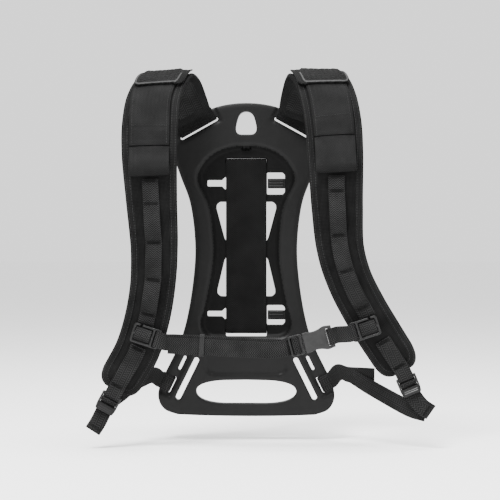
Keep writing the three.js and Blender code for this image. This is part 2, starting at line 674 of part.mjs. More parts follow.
// ---------- plate straps ----------
// The centre strap: down the front of the recess, each end turned back behind the plate.
function centreStrap() {
  const front = FLOOR_FRONT - GAP - CENTRE_T / 2 - 0.4;
  const back = REAR + GAP + CENTRE_T / 2 + 0.2;
  const points = [
    [back, 63], [back, 100], [back, 108.5], [back - 1.3, 112.8], [-2.2, 114.4],
    [front + 1.3, 113.2], [front, 109], [front, 100], [front, 0], [front, -96], [front, -102.5],
    [front + 1.3, -106.3], [-2.2, -107.4], [back - 1.3, -106], [back, -102], [back, -94], [back, -63],
  ];
  const frames = route(points.map(([y, z]) => v3(0, y, z)), v3(1, 0, 0), 70);
  return loft(frames.map((f) => ringAt(f, broadFaces(CENTRE_W / 2, CENTRE_T, 1))));
}

// ---------- materials and assembly ----------
const finish = (color, roughness, metalness = 0) => ({ color, roughness, metalness });
const FINISHES = {
  plate: finish(0x1b1c1e, 0.55),
  hardware: finish(0x151617, 0.35),
  socket: finish(0x3a3c3e, 0.45),
  webbing: finish(0x17181a, 0.8),
  pad: finish(0x141517, 0.9),
  band: finish(0x1c1d20, 0.75),
  elastic: finish(0x222327, 0.85),
};

const group = new THREE.Group();

function add(name, geometry, finishName) {
  geometry.computeVertexNormals();
  const mesh = new THREE.Mesh(geometry, new THREE.MeshStandardMaterial(FINISHES[finishName]));
  mesh.name = name;
  group.add(mesh);
}

add('backplate', backplate(), 'plate');
add('latch_finger_upper', latchFinger(LATCHES[0]), 'plate');
add('latch_finger_lower', latchFinger(LATCHES[1]), 'plate');
add('centre_strap', centreStrap(), 'webbing');

[['left', -1], ['right', 1]].forEach(([name, sign]) => {
  const strap = STRAPS[name];
  add(`strap_anchor_${name}`, barLoop(loopFrame(sign, ANCHOR), ANCHOR_BAR, CENTRE_W, CENTRE_T), 'webbing');
  add(`shoulder_pad_${name}`, shoulderPad(strap), 'pad');
  add(`outer_band_${name}`, outerBand(strap), 'band');
  add(`shoulder_patch_${name}`, shoulderPatch(strap), 'band');
  add(`hose_loop_${name}`, wideLoop(strap), 'band');
  add(`daisy_webbing_${name}`, daisyWebbing(strap), 'webbing');
  add(`lock_strip_${name}`, lockStrip(strap), 'webbing');
  add(`ladder_lock_${name}`, ladderLock(strap), 'hardware');
  add(`webbing_tail_${name}`, webbingTail(strap), 'webbing');
  add(`lower_loop_${name}`, barLoop(loopFrame(sign, SHORT_SLOTS[1]), LOWER_BAR, WEB, WEB_T), 'webbing');
  add(`lower_webbing_${name}`, lowerWebbing(name, sign), 'webbing');
  add(`chest_slider_${name}`, slider(strap), 'hardware');
  add(`slider_wrap_${name}`, sliderWrap(strap), 'webbing');
});

add('chest_webbing_left', chestWebbingLeft(), 'webbing');
add('chest_webbing_tail', chestTail(), 'webbing');
add('elastic_keeper', elasticKeeper(), 'elastic');
add('chest_webbing_right', chestWebbingRight(), 'webbing');
add('buckle_male', buckleMale(), 'hardware');
add('buckle_prong_upper', buckleProng(1), 'hardware');
add('buckle_prong_lower', buckleProng(-1), 'hardware');
add('buckle_female', buckleFemale(), 'socket');

export default group;
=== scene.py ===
"""Looks of the air pack harness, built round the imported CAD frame."""
import math

import bmesh
import bpy
import numpy as np
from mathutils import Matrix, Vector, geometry, kdtree, noise


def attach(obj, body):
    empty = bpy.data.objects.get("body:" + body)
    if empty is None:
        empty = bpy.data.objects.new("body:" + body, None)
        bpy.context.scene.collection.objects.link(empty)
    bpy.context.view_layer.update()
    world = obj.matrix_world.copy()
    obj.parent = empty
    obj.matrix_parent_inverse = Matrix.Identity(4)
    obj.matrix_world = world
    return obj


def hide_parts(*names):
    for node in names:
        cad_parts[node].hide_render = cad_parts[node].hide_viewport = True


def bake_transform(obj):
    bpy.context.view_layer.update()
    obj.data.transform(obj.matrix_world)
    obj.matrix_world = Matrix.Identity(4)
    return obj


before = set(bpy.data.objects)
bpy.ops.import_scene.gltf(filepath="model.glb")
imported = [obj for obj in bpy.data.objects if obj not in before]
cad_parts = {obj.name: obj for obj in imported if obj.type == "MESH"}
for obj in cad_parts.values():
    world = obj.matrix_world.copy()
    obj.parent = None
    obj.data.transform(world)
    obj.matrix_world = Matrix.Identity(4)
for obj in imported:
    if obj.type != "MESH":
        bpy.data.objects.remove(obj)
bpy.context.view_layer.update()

# Everything below is worked out in millimetres and written to meshes in metres.
MM = 0.001

# ---------- driving dimensions, as in the CAD ----------
GAP = 0.3
RIM = 12.0                  # heights are measured outwards, from the plate's rear face to the front
FLOOR = 4.5
SKIN = 3.5
WEB = 20.0
WEB_T = 1.8
CENTRE_W = 52.0
CENTRE_T = 2.0
PAD_T = 10.0
BAND_W = 49.0
BAND_T = 1.5
ON_PAD = PAD_T / 2 + GAP    # how far above a pad's middle surface the webbings lie
BORDER = 9.0                # the pad's bound border
BAR_R = 1.3                 # half thickness of the ladder lock's hanging bar
LOCK_LIFT = 4
STRAP_SLOT = 26.15          # half width of the centre strap's slots
X, Y, Z = np.eye(3)


def unit(v):
    return v / np.linalg.norm(v)


def ease(x):
    x = np.clip(x, 0, 1)
    return x * x * (3 - 2 * x)


def ridge(x, width):
    """A rounded ridge of height 1 where x is 0."""
    return np.exp(-(x / width) ** 2)


def bumps(q, across, along, seed):
    """Slight unevenness at places q, in mm. across and along say how close the bumps are."""
    return np.array([noise.noise((x * across, y * along, seed)) for x, y in q]) * 0.5


def level(height):
    """A height that is the same all over."""
    return lambda q: np.full(len(q), float(height))


def run_along(points):
    """How far along a line of points each of them lies."""
    return np.concatenate([[0], np.cumsum(np.linalg.norm(np.diff(points, axis=0), axis=1))])


# ---------- curves and frames ----------
class Curve:
    """A smooth centripetal curve through points, the same one as the CAD's."""

    def __init__(self, points):
        self.points = [np.array(p, float) for p in points]
        first = 2 * self.points[0] - self.points[1]
        last = 2 * self.points[-1] - self.points[-2]
        self.knots = [first, *self.points, last]

    def at(self, t):
        i = min(max(int(t), 0), len(self.points) - 2)
        w = t - i
        a, b, c, d = self.knots[i:i + 4]
        k0, k1, k2 = (max(np.linalg.norm(q - p), 1e-8) ** 0.5 for p, q in ((a, b), (b, c), (c, d)))
        m0 = ((b - a) / k0 - (c - a) / (k0 + k1) + (c - b) / k1) * k1
        m1 = ((c - b) / k1 - (d - b) / (k1 + k2) + (d - c) / k2) * k1
        return b + w * m0 + w * w * (3 * (c - b) - 2 * m0 - m1) + w ** 3 * (2 * (b - c) + m0 + m1)

    def tangent(self, t):
        last = len(self.points) - 1
        return unit(self.at(min(t + 1e-3, last)) - self.at(max(t - 1e-3, 0)))

    def even(self, step):
        """Curve parameters at even steps of length."""
        dense = np.linspace(0, len(self.points) - 1, 24 * (len(self.points) - 1) + 1)
        where = np.array([self.at(t) for t in dense])
        run = run_along(where)
        count = max(int(round(run[-1] / step)), 2)
        return np.interp(np.linspace(0, run[-1], count + 1), run, dense)


class Frame:
    """A place on a strap: p, with side across it, tangent along it and normal outwards."""

    def __init__(self, p, side, tangent, normal):
        self.p, self.side, self.tangent, self.normal = p, side, tangent, normal

    def to(self, u, v, w):
        """u across, v along and w outwards. Each may be a number or an array."""
        u, v, w = np.broadcast_arrays(*(np.asarray(x, float) for x in (u, v, w)))
        return (self.p + u[..., None] * self.side + v[..., None] * self.tangent
                + w[..., None] * self.normal)

    def across(self, marks):
        """Places across and outwards, for pairs of u and w."""
        return [self.to(u, 0, w) for u, w in marks]

    def along(self, marks):
        """Places along and outwards, for pairs of v and w."""
        return [self.to(0, v, w) for v, w in marks]


def route(points, side, side_end=None, step=1.6):
    """Frames along a smooth route whose flat side faces across side."""
    curve = Curve(points)
    marks = curve.even(step)
    side_end = side if side_end is None else side_end
    frames = []
    for i, t in enumerate(marks):
        tangent = curve.tangent(t)
        u = i / (len(marks) - 1)
        across = side * (1 - u) + side_end * u
        across = unit(across - tangent * (across @ tangent))
        frames.append(Frame(curve.at(t), across, tangent, np.cross(tangent, across)))
    return frames


STRAPS = {
    "left": {
        "points": [(-65, -21, 162), (-75, -32, 182), (-86, -48, 201), (-97, -70, 210),
                   (-106, -93, 203), (-112, -110, 181), (-113, -120, 151), (-112.5, -126, 110),
                   (-110, -127, 60), (-107, -123, 0), (-109.5, -117, -45), (-117, -112, -86),
                   (-129, -107, -123), (-147, -101, -155), (-158, -98, -174), (-167, -97, -190),
                   (-176, -98, -204), (-188, -100, -224)],
        "sides": [(0.875, 0.485), (0.95, 0.3), (0.99, 0.14), (1, 0.07), (1, 0.03)],
        "band_end": 124, "loop_end": 88, "tacks": [55, 8.5, -36.5, -79],
        "slider": -104, "slider_in": 1, "inward": 1, "narrowing": 8.0,
        "patch": (-25, 35), "patch_skew": -0.27,
    },
    "right": {
        "points": [(64, -21, 162), (71, -32, 182), (80, -48, 201), (89, -70, 211), (98, -93, 204),
                   (105, -110, 182), (109.5, -120, 151), (112, -126, 110), (114, -127, 50), (118, -123, 0),
                   (129, -118, -37), (146, -112, -71), (164, -107, -101), (182, -101, -129),
                   (195, -98, -150), (203, -96, -168), (213, -96, -184), (230, -98, -203)],
        "sides": [(0.875, -0.485), (0.95, -0.3), (0.99, -0.12), (1, -0.03), (1, -0.01)],
        "band_end": 136, "loop_end": 92, "tacks": [70, 17, -25.5, -70],
        "slider": -95, "slider_in": 9, "inward": -1, "narrowing": 4.0,
        "patch": (29, -34), "patch_skew": 0.19,
    },
}
# Stations count the points of a strap. These are the pad's widths at its stations.
PAD_WIDTHS = [48, 56, 64, 69, 70, 70, 69, 67, 62, 57, 55, 55, 55, 54, 50]
PAD_END = 14
for strap in STRAPS.values():
    strap["curve"] = Curve(strap["points"])


def strap_at(strap, station):
    last = len(strap["points"]) - 1
    s = min(max(station, 0), last)
    tangent = strap["curve"].tangent(s)
    i = int(s)
    hints = [np.array([x, 0, z]) for x, z in strap["sides"]]
    a, b = hints[min(i, len(hints) - 1)], hints[min(i + 1, len(hints) - 1)]
    side = a + (b - a) * (s - i)
    side = unit(side - tangent * (side @ tangent))
    return Frame(strap["curve"].at(s), side, tangent, np.cross(tangent, side))


def station_at(strap, z):
    """The station where the strap passes height z, below the top of the shoulder."""
    low, high = 4.0, len(strap["points"]) - 1.0
    for _ in range(30):
        middle = (low + high) / 2
        if strap["curve"].at(middle)[2] > z:
            low = middle
        else:
            high = middle
    return low


def at_height(strap, z):
    return strap_at(strap, station_at(strap, z))


def lifted(f, lift):
    return Frame(f.p + f.normal * lift, f.side, f.tangent, f.normal)


# ---------- meshes ----------
def linked(name, data):
    obj = bpy.data.objects.new(name, data)
    bpy.context.scene.collection.objects.link(obj)
    return obj


def read(items, field, kind, width=1):
    """One field of all of a mesh's items, as an array with width columns."""
    values = np.zeros(len(items) * width, kind)
    items.foreach_get(field, values)
    return values.reshape(-1, width) if width > 1 else values


def corners(mesh):
    return read(mesh.loops, "vertex_index", np.int32)


def smooth(mesh, degrees):
    mesh.shade_smooth()
    mesh.set_sharp_from_angle(angle=math.radians(degrees))


def mesh_object(name, points, faces, uv, smooth_angle=38):
    mesh = bpy.data.meshes.new(name)
    mesh.from_pydata((np.asarray(points, float) * MM).tolist(), [], [list(map(int, f)) for f in faces])
    mesh.validate()
    layer = mesh.uv_layers.new(name="weave")
    uv = np.asarray(uv, float)[corners(mesh)] * MM
    layer.data.foreach_set("uv", uv.astype(np.float32).ravel())
    smooth(mesh, smooth_angle)
    return linked(name, mesh)


def turn_outwards(mesh, smooth_angle=38):
    work = bmesh.new()
    work.from_mesh(mesh)
    bmesh.ops.remove_doubles(work, verts=work.verts, dist=2e-6)
    bmesh.ops.recalc_face_normals(work, faces=work.faces)
    work.to_mesh(mesh)
    work.free()
    smooth(mesh, smooth_angle)


def face_outwards(points, faces):
    """Faces turned, all together if needed, so that the closed mesh's volume is positive."""
    volume = 0.0
    for f in faces:
        for i in range(1, len(f) - 1):
            volume += np.dot(points[f[0]], np.cross(points[f[i]], points[f[i + 1]]))
    return faces if volume > 0 else [f[::-1] for f in faces]


def skin(name, rings, uvs, closed=False):
    """A closed skin over rings of points. Open ends get a fan."""
    n, count = len(rings), len(rings[0])
    points, uv = np.concatenate(rings), np.concatenate(uvs)
    faces = []
    for r in range(n if closed else n - 1):
        s = (r + 1) % n
        for i in range(count):
            j = (i + 1) % count
            faces.append((r * count + i, r * count + j, s * count + j, s * count + i))
    for r in () if closed else (0, n - 1):
        middle = len(points)
        points = np.vstack([points, rings[r].mean(0)])
        uv = np.vstack([uv, uvs[r].mean(0)])
        for i in range(count):
            a, b = r * count + i, r * count + (i + 1) % count
            faces.append((middle, a, b) if r else (middle, b, a))
    return mesh_object(name, points, face_outwards(points, faces), uv)


def ribbon_section(width, thick, cells, selvedge):
    """A flat band's section: pairs of across and outwards, round both faces."""
    half, t = width / 2, thick / 2
    across = np.linspace(1, -1, cells + 1)
    across = np.sign(across) * (1 - (1 - np.abs(across)) ** 1.4) * (half - t * 0.7)
    height = t * (1 + selvedge * ridge(half - np.abs(across), 1.2))
    top = list(zip(across, height))
    bottom = [(a, -b) for a, b in reversed(top)]
    left = [(-half + 0.12 * t, 0.55 * t), (-half, 0), (-half + 0.12 * t, -0.55 * t)]
    right = [(-a, -b) for a, b in left]
    return top + left + bottom + right


def run_of(frames):
    """How far along its route each frame lies."""
    steps = [np.linalg.norm(b.p - a.p) for a, b in zip(frames, frames[1:])]
    return np.concatenate([[0], np.cumsum(steps)])


def webbing(name, frames, width=WEB, thick=WEB_T, cells=10, selvedge=0.12, ripple=0.5, seed=0.0,
            drape=None):
    """A length of webbing along frames, with a little unevenness along its edges. drape is how
    far it rises off its frame, for a run along it and distances across."""
    section = np.array(ribbon_section(width, thick, cells, selvedge))
    along = run_of(frames)
    rings, uvs = [], []
    for f, s in zip(frames, along):
        wave = ripple * noise.noise((s * 0.045, seed, 0.0))
        lean = ripple * noise.noise((s * 0.06, seed, 4.0))
        a, b = section[:, 0], section[:, 1]
        if drape is not None:
            b = b + drape(s, a)
        rings.append(f.to(a * (1 + 0.004 * wave), 0, b + wave * 0.35 + lean * 0.3 * a / (width / 2)))
        uvs.append(np.stack([a, np.full(len(a), s)], 1))
    # The two cut ends close in a slightly rounded edge.
    for k in (0, -1):
        middle = rings[k].mean(0)
        rings[k] = middle + (rings[k] - middle) * 0.985
    return skin(name, rings, uvs)


# ---------- outlines ----------
def quadratic(a, b, c, n=10):
    t = np.linspace(0, 1, n + 1)[1:, None]
    return (1 - t) ** 2 * np.array(a) + 2 * t * (1 - t) * np.array(b) + t * t * np.array(c)


def cubic(a, b, c, d, n=14):
    t = np.linspace(0, 1, n + 1)[1:, None]
    a, b, c, d = (np.array(p, float) for p in (a, b, c, d))
    return (1 - t) ** 3 * a + 3 * t * (1 - t) ** 2 * b + 3 * t * t * (1 - t) * c + t ** 3 * d


def spline(points, n=8):
    """A uniform Catmull-Rom spline through points, without the first one."""
    p = np.array(points, float)
    knots = np.vstack([p[0], p, p[-1]])
    found = []
    for i in range(len(p) - 1):
        a, b, c, d = knots[i:i + 4]
        for t in np.linspace(0, 1, n + 1)[1:]:
            found.append(0.5 * (2 * b + (c - a) * t + (2 * a - 5 * b + 4 * c - d) * t * t
                                + (3 * b - a - 3 * c + d) * t ** 3))
    return np.array(found)


def even_loop(points, step):
    """A closed outline, counter-clockwise, at even steps of length."""
    p = np.array(points, float)
    area = np.sum(p[:, 0] * np.roll(p[:, 1], -1) - np.roll(p[:, 0], -1) * p[:, 1])
    if area < 0:
        p = p[::-1]
    ring = np.vstack([p, p[:1]])
    run = run_along(ring)
    at = np.linspace(0, run[-1], max(int(run[-1] / step), 12) + 1)[:-1]
    return np.stack([np.interp(at, run, ring[:, k]) for k in (0, 1)], 1)


def both_sides(half):
    """The right half of a symmetric outline, from the top down, closed by its mirror image."""
    half = np.vstack([np.atleast_2d(p) for p in half])
    return np.vstack([half, (half * [-1, 1])[::-1]])


def with_corners(corners, radius):
    """An outline with each corner turned in an arc. radius is one number or one for each corner."""
    p = np.array(corners, float)
    radii = np.broadcast_to(radius, len(p))
    found = []
    for i, corner in enumerate(p):
        back, ahead = p[i - 1] - corner, p[(i + 1) % len(p)] - corner
        room = 0.48 * min(np.linalg.norm(back), np.linalg.norm(ahead))
        half_angle = math.acos(np.clip(unit(back) @ unit(ahead), -1, 1)) / 2
        cut = min(radii[i] / math.tan(half_angle), room)
        start, end = corner + unit(back) * cut, corner + unit(ahead) * cut
        found.append(np.vstack([start, quadratic(start, corner, end, 6)]))
    return np.vstack(found)


def rectangle(x0, x1, y0, y1, radius):
    return with_corners([(x0, y0), (x1, y0), (x1, y1), (x0, y1)], radius)


def stadium(x, y, length, width, degrees):
    turn = np.linspace(-math.pi / 2, math.pi / 2, 10)
    end = np.stack([np.cos(turn) * width / 2 + (length - width) / 2, np.sin(turn) * width / 2], 1)
    loop = np.vstack([end, -end])
    c, s = math.cos(math.radians(degrees)), math.sin(math.radians(degrees))
    return loop @ np.array([[c, s], [-s, c]]) + [x, y]


def mirrored(points):
    return np.array(points, float) * [-1, 1]


class Loop:
    """A closed outline that tells how far points lie outside it. Inside is negative."""

    def __init__(self, points, step=1.5):
        self.points = even_loop(points, step)

    def distance(self, q):
        a = self.points
        ab = np.roll(a, -1, 0) - a
        length = (ab * ab).sum(1)
        found = np.empty(len(q))
        for i in range(0, len(q), 2000):
            ap = q[i:i + 2000, None] - a
            t = np.clip((ap * ab).sum(2) / length, 0, 1)
            gap = np.sqrt(((ap - t[..., None] * ab) ** 2).sum(2)).min(1)
            found[i:i + 2000] = np.where(self.holds(q[i:i + 2000]), -gap, gap)
        return found

    def holds(self, q):
        a = self.points
        b = np.roll(a, -1, 0)
        x, y = q[:, 0, None], q[:, 1, None]
        spans = (a[:, 1] > y) != (b[:, 1] > y)
        with np.errstate(divide="ignore", invalid="ignore"):
            cross = a[:, 0] + (y - a[:, 1]) * (b[:, 0] - a[:, 0]) / (b[:, 1] - a[:, 1])
        return (spans & (x < cross)).sum(1) % 2 == 1


def loop_normals(loop, reach=1):
    """Unit vectors out of a counter-clockwise outline, at each of its points."""
    along = np.roll(loop, -reach, 0) - np.roll(loop, reach, 0)
    along /= np.maximum(np.linalg.norm(along, axis=1), 1e-9)[:, None]
    return np.stack([along[:, 1], -along[:, 0]], 1)


# ---------- moulded solids ----------
SHARP = 40                  # edges turned by more degrees than this are sharp


def snapped(points, levels, reach):
    """Points near a level of a field moved onto it, so that a step's edges come out clean."""
    for field, values in levels:
        d = field(points)[:, None] - np.array(values, float)
        pick = np.abs(d).argmin(1)
        d = d[np.arange(len(d)), pick]
        near = np.abs(d) < reach
        if not near.any():
            continue
        q, e = points[near], 0.05
        slope = [field(q + step) - field(q - step) for step in ([e, 0], [0, e])]
        slope = np.stack(slope, 1) / (2 * e)
        size = np.maximum((slope ** 2).sum(1), 0.25)
        points = points.copy()
        points[near] = q - slope * (d[near] / size)[:, None]
    return points


def spread(points, gap):
    """Points with near twins left out."""
    _, first = np.unique(np.round(points / gap).astype(int), axis=0, return_index=True)
    return points[np.sort(first)]


def face_mesh(rims, inside, step):
    """A flat face inside the first rim and outside the others: its points, its triangles and
    the vertex numbers of each rim."""
    start = np.cumsum([0] + [len(r) for r in rims])
    flat = np.vstack(rims + [inside])
    edges = [(first + i, first + (i + 1) % len(r)) for first, r in zip(start, rims) for i in range(len(r))]
    found = geometry.delaunay_2d_cdt([Vector(p) for p in flat], edges, [], 0, 1e-5)
    where = np.zeros(len(flat), int)
    for i, origins in enumerate(found[3]):
        for k in origins:
            where[k] = i
    top = np.array([tuple(v) for v in found[0]], float)
    tris = np.array([t for t in found[2] if len(t) == 3])
    middle = top[tris].mean(1)
    keep = Loop(rims[0], step).holds(middle)
    for r in rims[1:]:
        keep &= ~Loop(r, step).holds(middle)
    return top, tris[keep], [where[a:b] for a, b in zip(start, start[1:])]


def wall_faces(above, below):
    """Faces between two closed rings of vertex numbers."""
    return np.stack([above, np.roll(above, -1), np.roll(below, -1), below], 1).tolist()


def moulded(name, place, outline, holes, front, rear, fillet, rear_fillet, grid=0.8, step=0.8,
            front_levels=(), rear_levels=()):
    """A solid between a front and a rear height over a flat outline with holes, its edges
    rounded. place is the Frame or Bed that its u, v and w are measured in. Points lie grid
    apart on its faces and step apart along its edges. The levels are fields, each with the
    values at which a step in height starts or ends, and points are moved onto those."""
    loops = [even_loop(outline, step)] + [even_loop(h, step) for h in holes]
    inwards = [loop_normals(loop) * (1 if i else -1) for i, loop in enumerate(loops)]
    walls = [Loop(loop, step) for loop in loops]
    low, high = loops[0].min(0), loops[0].max(0)
    lattice = np.array([(x + (row % 2) * grid / 2, y)
                        for row, y in enumerate(np.arange(low[1], high[1], grid * 0.87))
                        for x in np.arange(low[0], high[0], grid)])

    points, faces, edges = [], [], []
    total = 0
    for height, radius, levels, up in ((front, fillet, front_levels, 1),
                                       (rear, rear_fillet, rear_levels, -1)):
        q = snapped(lattice, levels, grid * 0.62)
        clear = -walls[0].distance(q)
        for wall in walls[1:]:
            clear = np.minimum(clear, wall.distance(q))
        q = spread(q[clear > radius + grid * 0.4], grid * 0.35)
        rims = [loop + n * radius for loop, n in zip(loops, inwards)]
        top, tris, rings = face_mesh(rims, q, step * 0.7)
        z = height(top)
        points.append(np.column_stack([top, z]))
        faces.extend((tris + total).tolist())
        below = total
        total += len(top)
        outer = []
        for loop, n, ring in zip(loops, inwards, rings):
            above = ring + below
            for degrees in (60, 30, 0):
                turn = math.radians(degrees)
                edge = loop + n * radius * (1 - math.cos(turn))
                points.append(np.column_stack([edge, z[ring] - up * radius * (1 - math.sin(turn))]))
                under = np.arange(len(loop)) + total
                total += len(loop)
                faces.extend(wall_faces(above, under))
                above = under
            outer.append(above)
        edges.append(outer)
    for a, b in zip(*edges):
        faces.extend(wall_faces(a, b))
    points = np.vstack(points)
    used = sorted({i for f in faces for i in f})
    renumber = {old: new for new, old in enumerate(used)}
    points = points[used]
    faces = [[renumber[i] for i in f] for f in faces]
    obj = mesh_object(name, place.to(*points.T), faces, points[:, :2], SHARP)
    turn_outwards(obj.data, SHARP)
    return obj


# ---------- the plate ----------
PLATE = Frame(np.zeros(3), X, Z, -Y)


def plate_outline():
    half = [(0, 187), quadratic((0, 187), (24, 187), (44, 180)), (85, 157),
            quadratic((85, 157), (101, 147), (94, 122)),
            spline([(94, 122), (84, 93), (72, 60), (66, 18), (66, -22), (73, -75), (84, -117), (104, -159)]),
            spline([(104, -159), (112, -179), (112, -194), (104, -206), (88, -212)]),
            quadratic((88, -212), (50, -214), (0, -214))]
    return both_sides(half)


def recess_outline():
    half = [(0, 135), quadratic((0, 135), (44, 134), (61, 104)), quadratic((61, 104), (66, 94), (63, 82)),
            spline([(63, 82), (49.5, 52), (44.5, 15), (44.5, -15), (52, -60), (60, -90)]),
            quadratic((60, -90), (62, -114), (40, -116)), (0, -117)]
    return both_sides(half)


def hang_hole():
    half = [(0, 176), quadratic((0, 176), (8.5, 176), (11, 166)),
            quadratic((11, 166), (13.4, 158), (13.2, 153)),
            quadratic((13.2, 153), (12.5, 147), (6, 146.6)), (0, 146.6)]
    return both_sides(half)


def handle_hole():
    half = [(0, -167.5), (28, -168), cubic((28, -168), (48, -169), (64, -173), (64, -182)),
            cubic((64, -182), (64, -192), (48, -197), (26, -197.5)), (0, -197.5)]
    return both_sides(half)


ANCHOR = {"x": 60.3, "z": 154.6, "length": 55, "width": 5.2, "angle": -29}
LONG_SLOT = {"x": 75.5, "z": -166, "length": 60, "width": 6.8, "angle": -63.7}
SHORT_SLOTS = [{"x": 82, "z": -146, "length": 20, "width": 3.8, "angle": -64},
               {"x": 95.5, "z": -174, "length": 22.6, "width": 3.8, "angle": -64}]
# Each latch's height on the plate, the height of its opening and that of its finger.
LATCHES = {"upper": (84, 28, 12.6), "lower": (-84.5, 25, 12)}
LATCH_IN, LATCH_OUT = 26.5, 49.5
HOOKS = [(84.5, 8), (-83, 6.6)]
HOOK_FLARE = 5.5


def slot_loop(s):
    return stadium(s["x"], s["z"], s["length"], s["width"], s["angle"])


def bar_frame(sign, s):
    """A slot's middle, with side along it and normal towards the plate's edge."""
    turn = math.radians(s["angle"])
    along = np.array([math.cos(turn) * sign, 0, math.sin(turn)])
    out = np.array([-math.sin(turn) * sign, 0, math.cos(turn)])
    return Frame(np.array([s["x"] * sign, 0.0, s["z"]]), along, Y, out)


def well(s, along0, along1, out0, out1, radius=4):
    """A shallow hollow beside a slot, drawn along and across it."""
    f = bar_frame(1, s)
    box = rectangle(along0, along1, out0, out1, radius)
    at = f.p + box[:, :1] * f.side + box[:, 1:] * f.normal
    return at[:, [0, 2]]


def hook_slot(z, height):
    """A slot on the left, flared towards the middle of the plate."""
    h = height / 2
    return with_corners([(-50, z - h), (-31, z - h), (-26, z - h - HOOK_FLARE), (-26, z + h + HOOK_FLARE),
                         (-31, z + h), (-50, z + h)], 1.6)


def latch_opening(z, height):
    h, chamfer = height / 2, LATCH_OUT - 3
    return with_corners([(LATCH_IN, z - h), (chamfer, z - h), (LATCH_OUT, z - h + 3),
                         (LATCH_OUT, z + h - 3), (chamfer, z + h), (LATCH_IN, z + h)], 1.2)


def backplate():
    outline, recess = Loop(plate_outline()), Loop(recess_outline())
    panel = Loop(rectangle(-53, 53, -161, -122, 14))
    wells = [well(ANCHOR, -31.5, 31.5, -6.5, 30), well(SHORT_SLOTS[1], -58, 16, -5.5, 30, 3)]
    wells = [Loop(points) for w in wells for points in (w, mirrored(w))]
    right = [slot_loop(s) for s in (LONG_SLOT, *SHORT_SLOTS, ANCHOR)]
    rim_holes = [hang_hole(), handle_hole(), *right, *[mirrored(s) for s in right]]
    upper = with_corners([(18, 9), (25, 9), (28, 14), (38.2, 52), (38, 57), (34, 60.5), (18, 60.5)], 3)
    lower = with_corners([(18, -60.5), (33, -60.5), (37, -57), (37, -52), (28, -14), (25, -9.5),
                          (18, -9.5)], 3)
    hooks = [hook_slot(z, height) for z, height in HOOKS]
    latches = [latch_opening(z, height) for z, height, _ in LATCHES.values()]
    straps = [rectangle(-STRAP_SLOT, STRAP_SLOT, *ends, 1.2) for ends in ((110, 116.3), (-112, -102.6))]
    holes = rim_holes + [upper, mirrored(upper), lower, mirrored(lower), *hooks, *latches, *straps]

    cores = [Loop(h, 1) for h in rim_holes]
    block, rail = Loop(rectangle(-58, 58, -163, -110, 4)), Loop(rectangle(-115, 115, -215, -186, 2))

    def front(q):
        d = recess.distance(q)
        h = RIM - (RIM - FLOOR) * ease((1.6 - d) / 9.4)
        h = h - 1.5 * ease((0.8 - panel.distance(q)) / 2.6)
        for w in wells:
            h = h - 1.5 * ease((0.6 - w.distance(q)) / 2.2)
        h = h - 0.9 * ease((outline.distance(q) + 7) / 7) ** 2
        for z in (0, -88):
            h = h - 0.3 * ridge(q[:, 1] - z, 0.5) * (d > 2)
        rest = (np.abs(q[:, 0]) < 6.5) & (np.abs(q[:, 1] - 131.5) < 6)
        lug = ease((6.5 - np.abs(q[:, 0])) / 1.5) * ease((q[:, 1] - 126.5) / 1.5) * rest
        return np.where(rest, np.maximum(h, (RIM - 2.2) * lug), h)

    def hollow(q):
        """Below 0 inside the hollows behind the rim."""
        d = np.maximum(4 + outline.distance(q), SKIN - recess.distance(q))
        for core in cores:
            d = np.maximum(d, 5 - core.distance(q))
        for solid in (block, rail):
            d = np.maximum(d, -solid.distance(q))
        ribs = np.abs(((q[:, 1] + 11) % 22) - 11)
        return np.maximum(d, 1.1 - ribs)

    def rear(q):
        return (RIM - SKIN) * ease(-hollow(q) / 1.2)

    # Front faces inside the recess, which get the darker plastic: painted shade in the recess.
    def recess_shade_faces(q, at):
        return (recess.distance(q) < -2.5) & (at[:, 1] < -2)

    steps = [(recess.distance, [1.6, 0.2, -1.2, -2.6, -4, -5.4, -6.8, -7.9]),
             (panel.distance, [0.8, -0.5, -1.8])]
    steps += [(w.distance, [0.6, -0.5, -1.6]) for w in wells]
    piece = moulded("plate_shell", PLATE, plate_outline(), holes, front, rear, 1.6, 0.7, 2.6, 1.5,
                    steps, [(hollow, [0, -1.2])])
    finished(piece, "backplate", "backplate", SHELL)
    second_material(piece, painted_recess_shade, recess_shade_faces)


def latch_finger(name):
    """A spring finger with three ribs to press it by."""
    z, _, finger = LATCHES[name]
    tip, root = LATCH_IN + 1, LATCH_OUT + 0.7
    outline = rectangle(tip, root, z - finger / 2, z + finger / 2, 0.8)

    def front(q):
        on_rib = np.zeros(len(q))
        for row in (-1, 0, 1):
            on_rib = np.maximum(on_rib, ease((1.3 - np.abs(q[:, 1] - z - row * 3.6)) / 0.8))
        ends = ease((q[:, 0] - tip - 1.2) / 1) * ease((root - 2 - q[:, 0]) / 1)
        return 3.9 + 1.0 * on_rib * ends

    piece = moulded(f"latch_rib_{name}", PLATE, outline, [], front, level(1.2), 0.5, 0.4, 0.7)
    finished(piece, f"latch_finger_{name}", f"latch_{name}", SHELL)


